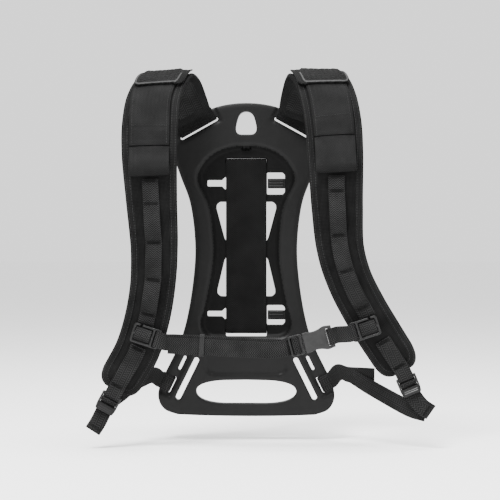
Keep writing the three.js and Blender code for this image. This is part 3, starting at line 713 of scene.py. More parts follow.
# ---------- materials ----------
class Nodes:
    """A material's nodes, with short ways of adding and joining them."""

    def __init__(self, name):
        self.material = bpy.data.materials.new(name)
        self.material.use_nodes = True
        self.tree = self.material.node_tree
        self.shader = self.tree.nodes["Principled BSDF"]

    def add(self, kind, **values):
        node = self.tree.nodes.new(kind)
        for key, value in values.items():
            setattr(node, key, value)
        return node

    def put(self, socket, value):
        if isinstance(value, bpy.types.NodeSocket):
            self.tree.links.new(value, socket)
        else:
            socket.default_value = value

    def math(self, operation, a, b=0.0, c=0.0):
        node = self.add("ShaderNodeMath", operation=operation)
        for socket, value in zip(node.inputs, (a, b, c)):
            self.put(socket, value)
        return node.outputs[0]

    def times(self, a, b):
        return self.math("MULTIPLY", a, b)

    def mix(self, a, b, c):
        """a times b, plus c."""
        return self.math("MULTIPLY_ADD", a, b, c)

    def noise(self, scale, detail, roughness):
        node = self.add("ShaderNodeTexNoise")
        node.inputs["Scale"].default_value = scale
        node.inputs["Detail"].default_value = detail
        node.inputs["Roughness"].default_value = roughness
        self.put(node.inputs["Vector"], self.add("ShaderNodeTexCoord").outputs["Object"])
        return node.outputs["Fac"]

    def weave(self):
        """Distances across and along the cloth in metres."""
        split = self.add("ShaderNodeSeparateXYZ")
        self.put(split.inputs[0], self.add("ShaderNodeUVMap", uv_map="weave").outputs[0])
        return split.outputs[0], split.outputs[1]

    def wave(self, value, period_mm, phase=0.0):
        """A wave from 0 to 1 across a distance in metres."""
        turns = self.mix(value, 2 * math.pi / (period_mm * MM), phase)
        return self.mix(self.math("SINE", turns), 0.5, 0.5)

    def shade(self, amount, dark, light):
        """The base colour is a grey that runs from dark to light as amount runs from 0 to 1."""
        ramp = self.add("ShaderNodeMix", data_type="RGBA")
        self.put(ramp.inputs[0], amount)
        self.put(ramp.inputs[6], (dark, dark, dark, 1))
        self.put(ramp.inputs[7], (light, light, light, 1))
        self.put(self.shader.inputs["Base Color"], ramp.outputs[2])

    def surface(self, rough, specular):
        self.put(self.shader.inputs["Roughness"], rough)
        self.shader.inputs["Specular IOR Level"].default_value = specular

    def raised(self, height, depth_mm):
        """Relief from a height of 0 to 1."""
        bump = self.add("ShaderNodeBump")
        bump.inputs["Strength"].default_value = 1.0
        bump.inputs["Distance"].default_value = depth_mm * MM
        self.put(bump.inputs["Height"], height)
        self.put(self.shader.inputs["Normal"], bump.outputs[0])


CLOTH_SPECULAR = 0.03


def plastic(name, dark, light, rough, grain, relief, specular):
    """Moulded plastic: a fine grain, a slight unevenness and light scuffs."""
    n = Nodes(name)
    fine = n.noise(grain, 3, 0.6)
    broad = n.noise(22, 3, 0.55)
    scuff = n.math("POWER", n.noise(140, 4, 0.7), 5.0)
    n.shade(n.math("ADD", n.times(broad, 0.7), n.times(scuff, 1.6)), dark, light)
    n.surface(n.mix(broad, 0.16, rough - 0.08), specular)
    n.raised(n.mix(broad, 2.2, fine), relief)
    return n.material


def woven(name, dark, light, rough, rib_mm, chevron_mm, relief):
    """Webbing: yarns that slope one way and then the other in rows along its length."""
    n = Nodes(name)
    across, along = n.weave()
    zigzag = n.math("PINGPONG", across, chevron_mm * MM)
    yarn = n.wave(n.math("ADD", along, zigzag), rib_mm)
    row = n.wave(across, chevron_mm * 2)
    fuzz = n.noise(1400, 3, 0.7)
    broad = n.noise(38, 3, 0.6)
    # The base colour follows the yarns' ribs and is darkest in the grooves, where the bump is lowest. This
    # is painted shade between the yarns, with random tone from the noise on top.
    groove_shade_and_tone = n.times(n.mix(yarn, 0.55, n.times(fuzz, 0.4)), n.mix(broad, 0.8, 0.6))
    n.shade(n.math("POWER", groove_shade_and_tone, 1.8), dark, light)
    n.surface(rough, CLOTH_SPECULAR)
    n.raised(n.mix(yarn, 0.75, n.mix(row, 0.3, n.times(fuzz, 0.35))), relief)
    return n.material


def plain_cloth(name, dark, light, rough, thread_mm, relief):
    """A close plain weave with a slightly mottled tone."""
    n = Nodes(name)
    across, along = n.weave()
    cross = n.times(n.wave(across, thread_mm), n.wave(along, thread_mm, 1.3))
    fuzz = n.noise(1100, 3, 0.7)
    broad = n.noise(30, 4, 0.6)
    # The base colour is darkest where the threads dip, as the bump is. This is painted shade between the
    # threads, with a mottled random tone on top.
    groove_shade_and_tone = n.mix(cross, 0.5, n.times(broad, 0.6))
    n.shade(n.math("POWER", groove_shade_and_tone, 1.5), dark, light)
    n.surface(rough, CLOTH_SPECULAR)
    n.raised(n.mix(cross, 0.8, n.mix(fuzz, 0.4, n.times(broad, 1.2))), relief)
    return n.material


plate_plastic = plastic("plate_plastic", 0.003, 0.008, 0.42, 1500, 0.05, 0.13)
# A darker, less shiny copy of plate_plastic for the recess faces: painted shade.
painted_recess_shade = plastic("painted_recess_shade", 0.001, 0.004, 0.5, 1500, 0.05, 0.07)
hardware_plastic = plastic("hardware_plastic", 0.003, 0.008, 0.32, 1900, 0.03, 0.25)
socket_plastic = plastic("socket_plastic", 0.008, 0.036, 0.42, 500, 0.2, 0.15)
narrow_weave = woven("narrow_webbing", 0.0005, 0.038, 0.65, 2.7, 4.0, 0.5)
wide_weave = woven("wide_webbing", 0.0005, 0.016, 0.75, 2.4, 6.0, 0.25)
band_cloth = woven("band_fabric", 0.001, 0.024, 0.55, 2.0, 2.4, 0.3)
patch_cloth = woven("patch_fabric", 0.001, 0.026, 0.5, 1.9, 3.0, 0.35)
elastic_knit = woven("elastic_knit", 0.003, 0.06, 0.7, 1.1, 1.2, 0.3)
lining_knit = woven("lining_knit", 0.0005, 0.034, 0.7, 3.2, 5.4, 0.45)
pad_cloth = plain_cloth("pad_fabric", 0.001, 0.017, 0.8, 1.6, 0.3)
binding_tape = plain_cloth("binding_tape", 0.001, 0.022, 0.7, 2.0, 0.3)
piping_cord = plain_cloth("piping_cord", 0.01, 0.1, 0.5, 1.2, 0.1)
thread_nylon = plain_cloth("thread_nylon", 0.012, 0.07, 0.5, 0.6, 0.02)
tack_nylon = plain_cloth("tack_nylon", 0.001, 0.014, 0.5, 0.6, 0.02)

# Looks: the name of a slot and the material that fills it.
SHELL = ("plate_plastic", plate_plastic)
HARDWARE = ("hardware_plastic", hardware_plastic)
SOCKET = ("socket_plastic", socket_plastic)
NARROW = ("narrow_webbing", narrow_weave)
WIDE = ("wide_webbing", wide_weave)
PAD = ("pad_fabric", pad_cloth)
BAND = ("band_fabric", band_cloth)
PATCH = ("band_fabric", patch_cloth)
ELASTIC = ("elastic", elastic_knit)
PAD_THREAD = ("pad_fabric", thread_nylon)
BAND_THREAD = ("band_fabric", thread_nylon)
TACK_THREAD = ("narrow_webbing", tack_nylon)


def finished(piece, node, body, look):
    """The piece gets its look, the node of the CAD that it replaces and the body it moves with.
    Stitches replace no node, and a webbing between two bodies is attached to none."""
    slot, material = look
    if node is not None:
        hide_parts(node)
    piece.data.materials.clear()
    piece.data.materials.append(material)
    if body is not None:
        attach(piece, body)


def second_material(piece, material, chosen):
    """Another material on the faces for which chosen holds, given their u, v and middles in mm."""
    mesh = piece.data
    mesh.materials.append(material)
    uv = read(mesh.uv_layers["weave"].data, "uv", np.float32, 2) / MM
    start = read(mesh.polygons, "loop_start", np.int32)
    count = read(mesh.polygons, "loop_total", np.int32)
    centre = read(mesh.polygons, "center", np.float32, 3) / MM
    index = read(mesh.polygons, "material_index", np.int32)
    index[chosen(np.add.reduceat(uv, start) / count[:, None], centre)] = len(mesh.materials) - 1
    mesh.polygons.foreach_set("material_index", index)


# ---------- filled covers ----------
VOXEL = 4.5
PRESSURE = 4
LAST_FRAME = 20
HELD = 0.1                  # cloth with less freedom than this is sewn down


def places(mesh):
    return read(mesh.vertices, "co", np.float32, 3).astype(float)


def shaped(obj):
    """The object's mesh with its modifiers applied."""
    bpy.context.view_layer.update()
    return bpy.data.meshes.new_from_object(obj.evaluated_get(bpy.context.evaluated_depsgraph_get()))


def nearest(tree_points, at, count):
    """For each place the nearest of the tree's points and how much each of them counts."""
    tree = kdtree.KDTree(len(tree_points))
    for i, point in enumerate(tree_points):
        tree.insert(point, i)
    tree.balance()
    found = [tree.find_n(point, count) for point in at]
    index = np.array([[i for _, i, _ in row] for row in found])
    weight = np.array([[1 / (distance + 1e-5) for _, _, distance in row] for row in found])
    return index, weight / weight.sum(1, keepdims=True)


def filled(piece, freedom, reach):
    """A cloth under light pressure settles over the filling, held where freedom is 0."""
    mesh, scene = piece.data, bpy.context.scene
    q = np.zeros((len(mesh.vertices), 2))
    q[corners(mesh)] = read(mesh.uv_layers["weave"].data, "uv", np.float32, 2) / MM
    at = places(mesh)
    free = freedom(q, at / MM)

    trial = linked("trial", mesh.copy())
    even = trial.modifiers.new("even", "REMESH")
    even.mode = "VOXEL"
    even.voxel_size = VOXEL * MM
    trial.data = shaped(trial)
    trial.modifiers.clear()
    before = places(trial.data)
    index, _ = nearest(at, before, 1)
    sewn = trial.vertex_groups.new(name="sewn")
    sewn.add([int(i) for i in np.flatnonzero(free[index[:, 0]] < HELD)], 1.0, "REPLACE")
    cloth = trial.modifiers.new("cloth", "CLOTH")
    cloth.settings.vertex_group_mass = "sewn"
    cloth.settings.use_pressure = True
    cloth.settings.uniform_pressure_force = PRESSURE
    cloth.settings.effector_weights.gravity = 0
    for frame_number in range(1, LAST_FRAME + 1):
        scene.frame_set(frame_number)
    move = places(shaped(trial)) - before
    scene.frame_set(1)
    bpy.data.objects.remove(trial)
    size = np.linalg.norm(move, axis=1, keepdims=True)
    move *= np.minimum(1, reach * MM / np.maximum(size, 1e-9))
    index, weight = nearest(before, at, 4)
    at += (move[index] * weight[:, :, None]).sum(1) * free[:, None]
    mesh.vertices.foreach_set("co", at.astype(np.float32).ravel())
    mesh.update()


# ---------- threads ----------
THREAD_SIDES = 6
THREAD_RINGS = ((0, 0.35), (0.2, 1.0), (0.8, 1.0), (1, 0.35))


def threads(name, body, look, segments, radius=0.28):
    """Stitches: short lengths of thread, each from one point to another."""
    n = THREAD_SIDES
    turn = np.linspace(0, 2 * math.pi, n + 1)[:-1]
    points, faces = [], []
    for start, end in segments:
        axis = end - start
        size = np.linalg.norm(axis)
        axis = axis / size
        side = unit(np.cross(axis, Z if abs(axis[2]) < 0.8 else X))
        up = np.cross(axis, side)
        base = len(points)
        for at, r in THREAD_RINGS:
            for angle in turn:
                out = side * math.cos(angle) + up * math.sin(angle)
                points.append(start + axis * at * size + out * radius * r)
        for a in range(base, base + (len(THREAD_RINGS) - 1) * n, n):
            for i in range(n):
                j = (i + 1) % n
                faces.append((a + i, a + j, a + n + j, a + n + i))
        faces.append(tuple(base + i for i in range(n - 1, -1, -1)))
        faces.append(tuple(base + (len(THREAD_RINGS) - 1) * n + i for i in range(n)))
    obj = mesh_object(name, points, faces, np.array(points)[:, :2])
    turn_outwards(obj.data, 60)
    finished(obj, None, body, look)


def bar_tacks(name, body, frames, width, length, lift, radius=0.32):
    """Bar tacks on a narrow webbing, one at each frame: close threads across it."""
    rows = int(length / 0.62)
    runs = (np.arange(rows) / (rows - 1) - 0.5) * length
    segments = [(f.to(-width / 2, v, lift), f.to(width / 2, v + 0.3, lift)) for f in frames for v in runs]
    threads(name, body, TACK_THREAD, segments, radius)


# ---------- padded pieces ----------
class Bed:
    """A curved surface along frames. u is across, v the run along it and w outwards."""

    def __init__(self, frames):
        self.run = run_of(frames)
        self.p = np.array([f.p for f in frames])
        self.side = np.array([f.side for f in frames])
        self.normal = np.array([f.normal for f in frames])
        self.tangent = np.array([f.tangent for f in frames])

    def mix(self, values, v):
        at = np.clip(v, 0, self.run[-1])
        return np.stack([np.interp(at, self.run, values[:, k]) for k in range(3)], -1)

    def to(self, u, v, w):
        u, v, w = np.broadcast_arrays(*(np.asarray(x, float) for x in (u, v, w)))
        beyond = v - np.clip(v, 0, self.run[-1])
        return (self.mix(self.p, v) + u[..., None] * self.mix(self.side, v)
                + w[..., None] * self.mix(self.normal, v) + beyond[..., None] * self.mix(self.tangent, v))

    def height(self, q, at):
        """How far out places lie from the surface at q."""
        return ((at - self.to(q[:, 0], q[:, 1], 0)) * self.mix(self.normal, q[:, 1])).sum(1)


ROUND_END = 1.2             # stations over which the pad's end is rounded
END_POWER = 3.2             # 2 would make that end elliptic, and more makes it squarer
EDGE = 2.7                  # half the pad's thickness where its rounded edge ends
EDGE_RUN = 1.8              # how far in from the outline that is


def half_width(station):
    i = min(int(station), len(PAD_WIDTHS) - 2)
    plain = PAD_WIDTHS[i] + (PAD_WIDTHS[i + 1] - PAD_WIDTHS[i]) * (station - i)
    x = max(0.0, (station - PAD_END + ROUND_END) / ROUND_END)
    return plain / 2 * (1 - x ** END_POWER) ** (1 / END_POWER)


def cushion(inside, rise, rise_run, swell, groove):
    """The pad's half thickness, a distance inside its outline."""
    edge = EDGE * np.sqrt(1 - (1 - np.clip(inside, 0, EDGE_RUN) / EDGE_RUN) ** 2)
    groove = groove * ridge(inside - BORDER - 0.6, 0.8)
    return edge + rise * ease((inside - BORDER) / rise_run) + swell * ease((inside - 13) / 18) - groove


def pad_top(inside):
    return cushion(inside, 2.1, 8, 0.35, 0.9)


def pad_bottom(inside):
    return cushion(inside, 1.9, 6, 0.3, 0.7)


for strap in STRAPS.values():
    strap["marks"] = np.linspace(0.12, PAD_END, 240)
    strap["bed"] = Bed([strap_at(strap, s) for s in strap["marks"]])


def run_at(strap, station):
    return float(np.interp(station, strap["marks"], strap["bed"].run))


def inset_loop(points, inset, step):
    """The outline drawn in by a distance, at even steps."""
    loop = even_loop(points, 1.2)
    moved = loop - loop_normals(loop, 2) * inset
    keep = -Loop(points, 1.5).distance(moved) > inset - 0.3
    return even_loop(moved[keep], step)


def shoulder_pad(name):
    strap = STRAPS[name]
    bed, marks = strap["bed"], strap["marks"]
    side = np.stack([[half_width(s) for s in marks], bed.run], 1)
    side[0, 0] -= 2.5
    over = strap["narrowing"] * ease((marks - 0.5) / 2) * ease((6.6 - marks) / 3)
    outer = side[::-1] * [-1, 1] + np.stack([over[::-1], 0 * over], 1)
    outline = np.vstack([side, outer]) * [strap["inward"], 1]
    loop = Loop(outline, 2.5)

    def front(q):
        d = -loop.distance(q)
        return pad_top(d) + bumps(q, 0.05, 0.045, 1.0) * ease(d / 12)

    def rear(q):
        d = -loop.distance(q)
        return -pad_bottom(d) + bumps(q, 0.05, 0.045, 5.0) * ease(d / 12)

    def lining(q, at):
        return bed.height(q, at) < 0

    def freedom(q, at):
        return ease((-loop.distance(q) - BORDER) / 9) * lining(q, at)

    levels = [(loop.distance, [-BORDER, -BORDER - 0.8, -BORDER - 2, -1.8])]
    piece = moulded(f"pad_{name}", bed, outline, [], front, rear, 1.0, 1.0, 2.4, 2.0, levels, levels)
    filled(piece, freedom, 1.6)
    finished(piece, f"shoulder_pad_{name}", "shoulder_harness", PAD)
    second_material(piece, lining_knit, lining)
    second_material(piece, binding_tape, lambda q, at: loop.distance(q) > -BORDER)
    seam = even_loop(outline, 1.0)
    seam = seam[loop.distance(seam) < 1]
    stitches = []
    for inset, lift in ((BORDER - 1.6, 0.12), (2.2, 0.1)):
        ring = inset_loop(seam, inset, 3.4)
        at = bed.to(ring[:, 0], ring[:, 1], pad_top(np.full(len(ring), inset)) + lift)
        for a, b in zip(at, np.roll(at, -1, 0)):
            if np.linalg.norm(b - a) < 6:
                stitches.append((a + (b - a) * 0.1, a + (b - a) * 0.78))
    threads(f"pad_seam_{name}", "shoulder_harness", PAD_THREAD, stitches)


def outer_band(name):
    """The close-woven band on the upper pad, sewn down along its edges and across its end."""
    strap = STRAPS[name]
    bed = strap["bed"]
    half = BAND_W / 2
    v0, v1 = run_at(strap, 2.2), run_at(strap, station_at(strap, strap["band_end"]))
    outline = rectangle(-half, half, v0, v1, 2)
    loop = Loop(outline, 2.5)

    def base(q):
        stations = np.interp(q[:, 1], bed.run, strap["marks"])
        halves = np.array([half_width(s) for s in stations])
        return np.maximum(pad_top(halves - np.abs(q[:, 0])), 2.5) + 0.15

    def front(q):
        hem = 0.35 * ease((5.5 + loop.distance(q)) / 1.2)
        seam = 0.5 * ridge(q[:, 1] - v1 + 22, 0.9)
        return base(q) + BAND_T + 0.35 + hem - seam + bumps(q, 0.06, 0.05, 9.0)

    piece = moulded(f"band_{name}", bed, outline, [], front, base, 0.45, 0.3, 2.6, 2.0,
                    [(loop.distance, [-4.6, -5.6])])
    finished(piece, f"outer_band_{name}", "shoulder_harness", BAND)
    edge, end = half - 3.2, v1 - 24.5
    ends = [((u, v), (u, v + 2.4)) for u in (-edge, edge) for v in np.arange(v0 + 4, v1 - 4, 3.4)]
    ends += [((u, end), (u + 2.3, end)) for u in np.arange(-half + 4, half - 5, 3.2)]
    stitches = [bed.to(q[:, 0], q[:, 1], front(q) + 0.1) for q in map(np.array, ends)]
    threads(f"band_seam_{name}", "shoulder_harness", BAND_THREAD, stitches, 0.22)


def shoulder_patch(name):
    """A padded patch across the top of the shoulder, its ribbed panel edged with piping."""
    strap = STRAPS[name]
    bed, slope = strap["bed"], strap["patch_skew"]
    v0, v1 = run_at(strap, 2.95), run_at(strap, 4.4)
    low, high = sorted(strap["patch"])
    plain_low, plain_high = (1.8, 8) if strap["patch"][1] == high else (8, 1.8)
    lift = ON_PAD + BAND_T + 3 * GAP + 0.1

    def skewed(points):
        return points + np.stack([np.zeros(len(points)), slope * points[:, 0]], 1)

    outline = skewed(rectangle(low, high, v0, v1, 8))
    panel = Loop(skewed(rectangle(low + plain_low, high - plain_high, v0 + 2, v1 - 1.8, 6)))

    def rear(q):
        return lift - 1.8 * ease((np.abs(q[:, 0]) - 16) / 18)

    def front(q):
        d = -panel.distance(q)
        ribs = 0.55 * np.cos(2 * math.pi * (q[:, 1] - slope * q[:, 0] - v0) / 4.2) * ease((d - 3) / 2)
        puff = bumps(q, 0.11, 0.12, 3.0) * ease((d - 2) / 4)
        return rear(q) + 1.7 + 1.1 * ridge(d, 1.1) + 2.4 * ease((d - 1.4) / 4) + ribs + puff

    def freedom(q, at):
        return ease((-panel.distance(q) - 1.5) / 5) * (bed.height(q, at) > lift + 1.5)

    def piping(q, at):
        return (np.abs(panel.distance(q)) < 0.9) & (q[:, 1] > v0 + 12)

    piece = moulded(f"patch_{name}", bed, outline, [], front, rear, 1.2, 0.6, 1.5, 1.4,
                    [(panel.distance, [0.9, -0.9])])
    filled(piece, freedom, 1.0)
    finished(piece, f"shoulder_patch_{name}", "shoulder_harness", PATCH)
    second_material(piece, binding_tape, lambda q, at: panel.distance(q) > 0)
    second_material(piece, piping_cord, piping)


# ---------- straps on the pads ----------
def hose_loop(name):
    """The wide loop at the band's lower edge: out, round, and back under itself."""
    strap = STRAPS[name]
    top, bottom = strap["band_end"], strap["loop_end"]
    marks = [(top - 1, 0), (top - 11, 1.8), (bottom + 16, 6), (bottom + 7, 8.6), (bottom + 2, 8.2),
             (bottom, 6), (bottom + 0.8, 2.6), (bottom + 5, 0.7), (bottom + 12, 0)]
    points = [lifted(at_height(strap, z), ON_PAD + 0.9 + lift).p for z, lift in marks]
    frames = route(points, at_height(strap, (top + bottom) / 2).side, step=1.4)
    length = run_of(frames)[-1]

    def drape(s, a):
        lying = ease((14 - s) / 14) + 0.6 * ease((s - length + 10) / 10)
        edges = -1.9 * lying * ease((np.abs(a) - 12) / 12)
        return edges - 0.9 * (1 - lying) * (np.abs(a) / (BAND_W / 2)) ** 3

    piece = webbing(f"loop_{name}", frames, BAND_W, BAND_T, 22, 0.25, 0.9, 2.0 + len(name), drape)
    finished(piece, f"hose_loop_{name}", "shoulder_harness", BAND)


def daisy_webbing(name):
    """Daisy-chain webbing: flat at each bar tack and standing off the pad between them."""
    strap = STRAPS[name]
    tacks = [strap["loop_end"] - 4, *strap["tacks"], strap["slider"] + 13]
    last = len(tacks) - 2
    frames = []
    for i in range(last + 1):
        bulge = 0.9 if i in (0, last) else 6.0
        for x in np.linspace(0, 1, 26)[min(i, 1):]:
            z = tacks[i] + (tacks[i + 1] - tacks[i]) * x
            sag = min(max((x - 0.06) / 0.86, 0), 1) ** 1.35
            rise = bulge * math.sin(math.pi * sag) ** 0.75
            frames.append(lifted(at_height(strap, z), ON_PAD + WEB_T / 2 + rise))
    piece = webbing(f"daisy_{name}", frames, seed=11.0 + len(name))
    finished(piece, f"daisy_webbing_{name}", "shoulder_harness", NARROW)
    tacks[0] -= 1.5
    tacks[-1] += 1.5
    bar_tacks(f"daisy_tacks_{name}", "shoulder_harness", [at_height(strap, z) for z in tacks],
              17.5, 3.4, ON_PAD + WEB_T + 0.05)


def lock_frame(strap):
    return lifted(strap_at(strap, PAD_END + 0.32), LOCK_LIFT)


def lock_strip(name):
    """The sewn strip down the lower pad, looped round the lock's bar."""
    strap = STRAPS[name]
    f = lock_frame(strap)
    start = station_at(strap, strap["slider"] - 14)
    points = [lifted(strap_at(strap, s), ON_PAD + WEB_T / 2 + 0.5).p
              for s in np.linspace(start, PAD_END - 0.15, 7)]
    wrap = BAR_R * math.sqrt(2) + 0.5 + WEB_T / 2
    for degrees in (70, 38, 6, -26, -58, -90):
        turn = math.radians(degrees)
        points.append(f.to(0, wrap * math.cos(turn), wrap * math.sin(turn)))
    frames = route(points, strap_at(strap, start).side, f.side, 1.2)
    piece = webbing(f"strip_{name}", frames, seed=21.0 + len(name))
    finished(piece, f"lock_strip_{name}", "shoulder_harness", NARROW)
    ends = [strap_at(strap, s) for s in (start + 0.08, PAD_END - 0.42)]
    bar_tacks(f"strip_tacks_{name}", "shoulder_harness", ends, 16.5, 3.2, ON_PAD + WEB_T + 0.55)


def ladder_lock(name):
    """Two slots for the webbing and a ribbed tab, bent up, to lift it by."""
    inner = WEB / 2 + 0.1
    outline = with_corners([(-12.6, -1.3), (12.6, -1.3), (12.6, 15.2), (12.2, 18), (11.4, 22), (-11.4, 22),
                            (-12.2, 18), (-12.6, 15.2)], [1.3, 1.3, 2, 2, 2.5, 2.5, 2, 2])
    slots = [rectangle(-inner, inner, BAR_R, 6, 0.8), rectangle(-inner, inner, 9, 13, 0.8)]

    def front(q):
        u, v = np.abs(q[:, 0]), q[:, 1]
        grip = 0.3 * np.cos(2 * math.pi * (v - 18.9) / 2.1) * ease((v - 15.8) / 0.6)
        grip = grip * ease((9.5 - u) / 0.8) * ease((21.2 - v) / 0.6)
        return 1.5 + 3.0 * ease((v - 12.6) / 9.4) + grip

    def rear(q):
        return -1.3 + 3.4 * ease((q[:, 1] - 12.8) / 9)

    piece = moulded(f"lock_{name}", lock_frame(STRAPS[name]), outline, slots, front, rear, 0.6, 0.6)
    finished(piece, f"ladder_lock_{name}", f"ladder_lock_{name}", HARDWARE)


TAIL_ENDS = {"left": [(-178, -101.5, -212), (-185, -102, -223)],
             "right": [(217, -101, -191), (228.5, -101.5, -199)]}
# Along and outwards from the lock's hanging bar.
OVER_CROSSBAR = [(4.2, -2.6), (5.2, 0.4), (6.6, 2.5), (8.4, 2.7), (10, 0.6), (12.6, -2.4), (17, -2.2),
                 (23, -0.6)]


def webbing_tail(name):
    """Over the lock's crossbar, down behind its lift tab and on to its cut end."""
    f = lock_frame(STRAPS[name])
    ends = [np.array(p, float) for p in TAIL_ENDS[name]]
    level_side = unit(np.cross(unit(ends[1] - ends[0]), Y))
    level_side = level_side * np.sign(level_side @ f.side)
    frames = route(f.along(OVER_CROSSBAR) + ends, f.side, level_side, 1.2)
    piece = webbing(f"tail_{name}", frames, ripple=0.8, seed=31.0 + len(name))
    finished(piece, f"webbing_tail_{name}", f"ladder_lock_{name}", NARROW)
    bar_tacks(f"tail_hem_{name}", f"ladder_lock_{name}", [frames[-6]], 18, 1.9, WEB_T / 2 + 0.02, 0.26)


# ---------- loops of webbing round bars ----------
def ring_band(name, place, outline, width, thick, cells):
    """A closed loop of webbing. The outline is its middle line, in the place's v and w, and
    the webbing's width lies along the place's side."""
    loop = even_loop(outline, 0.9)
    section = np.array(ribbon_section(width, thick, cells, 0.12))
    across, out = section[:, 0], section[:, 1]
    rings, uvs = [], []
    run = 0.0
    for p, n, following in zip(loop, loop_normals(loop), np.roll(loop, -1, 0)):
        rings.append(place.to(across, p[0] + n[0] * out, p[1] + n[1] * out))
        uvs.append(np.stack([across, np.full(len(section), run)], 1))
        run += np.linalg.norm(following - p)
    return skin(name, rings, uvs, closed=True)


def bar_loop(name, f, near, far, width, thick):
    """Webbing round a bar of the rim beside a slot. f has side along the slot."""
    h = thick / 2
    outline = rectangle(near - h, far + h, -0.6 - h, RIM + 0.6 + h, 2.4)
    return ring_band(name, Frame(f.p, f.side, f.normal, -Y), outline, width, thick, 16 if width > 30 else 10)


def strap_anchor(name, sign):
    piece = bar_loop(f"anchor_{name}", bar_frame(sign, ANCHOR), 2.2, 14.9, CENTRE_W, CENTRE_T)
    finished(piece, f"strap_anchor_{name}", "backplate", WIDE)


def lower_loop(name, sign):
    piece = bar_loop(f"edge_loop_{name}", bar_frame(sign, SHORT_SLOTS[1]), 0.95, 15, WEB, WEB_T)
    finished(piece, f"lower_loop_{name}", "backplate", NARROW)


# The lower webbing's way from its loop, and where the doubled tab that it is sewn to ends.
LOWER_ROUTES = {
    "left": [(-117, -28, -161), (-129, -44, -164), (-141, -64, -169.5), (-151, -80, -177.5),
             (-160, -91, -184)],
    "right": [(118, -29, -156.5), (129, -42, -157.5), (150, -60, -168.5), (176, -78, -182),
              (191.5, -86, -190), (207, -92, -197), (223, -95.5, -201)],
}
TAB_ENDS = {"left": (-148, -68, -162), "right": (161, -62, -158)}


def lower_webbing(name, sign):
    f = bar_frame(sign, SHORT_SLOTS[1])
    start = f.p + f.normal * 14.5 - Y * (RIM + 3.6)
    points = [start, *[np.array(p, float) for p in LOWER_ROUTES[name]]]
    across = unit(np.cross(unit(points[-1] - points[-2]), Y))
    frames = route(points, f.side, across * np.sign(across @ f.side), 1.6)
    piece = webbing(f"lower_{name}", frames, ripple=1.0, seed=41.0 + len(name))
    hump, flat, end = points[1], points[2], np.array(TAB_ENDS[name], float)
    off = np.array([0, -2.4, 0])
    tab_points = [start + off * 0.3, hump + off + [0, -1.5, 1.5], flat + off, (flat + end) / 2 + off,
                  end + off]
    tab_frames = route(tab_points, f.side, Z * np.sign(f.side[2]), 1.4)
    tab = webbing(f"lower_tab_{name}", tab_frames, thick=2.6, ripple=0.8, seed=45.0 + len(name))
    for one, node in ((piece, f"lower_webbing_{name}"), (tab, None)):
        finished(one, node, None, NARROW)
        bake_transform(one)


# ---------- chest strap ----------
def chest_frame(x, y, z, degrees):
    c, s = math.cos(math.radians(degrees)), math.sin(math.radians(degrees))
    return Frame(np.array([x, y, z], float), np.array([c, 0, s]), np.array([-s, 0, c]), -Y)


CHEST_Y = -124.5
BUCKLE = chest_frame(83, CHEST_Y, -111.5, 15)
CHEST_START, CHEST_END = np.array([-82, CHEST_Y, -113]), np.array([46, CHEST_Y, -119])
CHEST_ALONG = unit(CHEST_END - CHEST_START)
CHEST_ACROSS = np.array([-CHEST_ALONG[2], 0, CHEST_ALONG[0]])


def slider_frame(strap):
    f = at_height(strap, strap["slider"])
    x = f.p[0] + strap["inward"] * strap["slider_in"]
    return chest_frame(x, CHEST_Y + 1.5, strap["slider"], -18 * strap["inward"])


def slider(name):
    """The sternum slider: two windows for the strap, a split rail and a side bar."""
    strap = STRAPS[name]
    inward = [strap["inward"], 1]
    window = 10.8
    outline = with_corners([(-13.5, -12), (21.5, -12), (21.5, 12), (-2.7, 12), (-4, 9.4), (window, 9.4),
                            (window, 1.6), (-window, 1.6), (-window, 9.4), (-6.6, 9.4), (-5.6, 12),
                            (-13.5, 12)], [3.5, 3.5, 3.5, 0.6, 0.4, 1, 1, 1, 1, 0.4, 0.6, 3.5])
    holes = [rectangle(-window, window, -9.4, -1.6, 1), rectangle(13.6, 18, -10.4, 10.4, 1)]

    def front(q):
        return 1.5 + 0.7 * ridge(q[:, 0] * strap["inward"] - 12.2, 2.2) + 0.25 * ridge(q[:, 1], 1.4)

    piece = moulded(f"slider_{name}", slider_frame(strap), outline * inward, [h * inward for h in holes],
                    front, level(-1.5), 0.75, 0.6)
    finished(piece, f"chest_slider_{name}", "chest_strap", HARDWARE)


def slider_wrap(name):
    f = slider_frame(STRAPS[name])
    points = f.along([(7.6, -1.2), (5.6, 1.4), (2.6, 3.2), (0, 3.6), (-2.6, 3.2), (-5.6, 1.4), (-7.6, -1.2)])
    piece = webbing(f"wrap_{name}", route(points, f.side, step=0.8), ripple=0.4, seed=51.0 + len(name))
    finished(piece, f"slider_wrap_{name}", "chest_strap", NARROW)


# Round a slider's side bar, across and outwards from the slider.
ROUND_SIDE_BAR = [(15.8, -1.5), (16.2, 2), (18.4, 3.1), (23, 2.4)]
# The two layers at the adjuster, across and outwards from the buckle.
BEHIND_BAR = [(-32, -3.8), (-27, -5.8), (-22, -5), (-18, -3.9), (-16, -2.2), (-15.5, 0), (-16.1, 2.9),
              (-17.6, 4.2), (-19, 4.4)]
UNDER_BAR = [(-31.5, 0), (-28, -3.3), (-25, -3.7), (-23.3, -2), (-22.8, 0.4), (-22.1, 3), (-20.8, 4.2),
             (-19.3, 4.4)]
ROUND_SOCKET_BAR = [(21, -1), (21, 3), (22.4, 5.4), (25, 6), (28.4, 4.8), (32, 2.2)]
BLEND_RUN = 97              # a run along the chest strap, past the keeper's travel
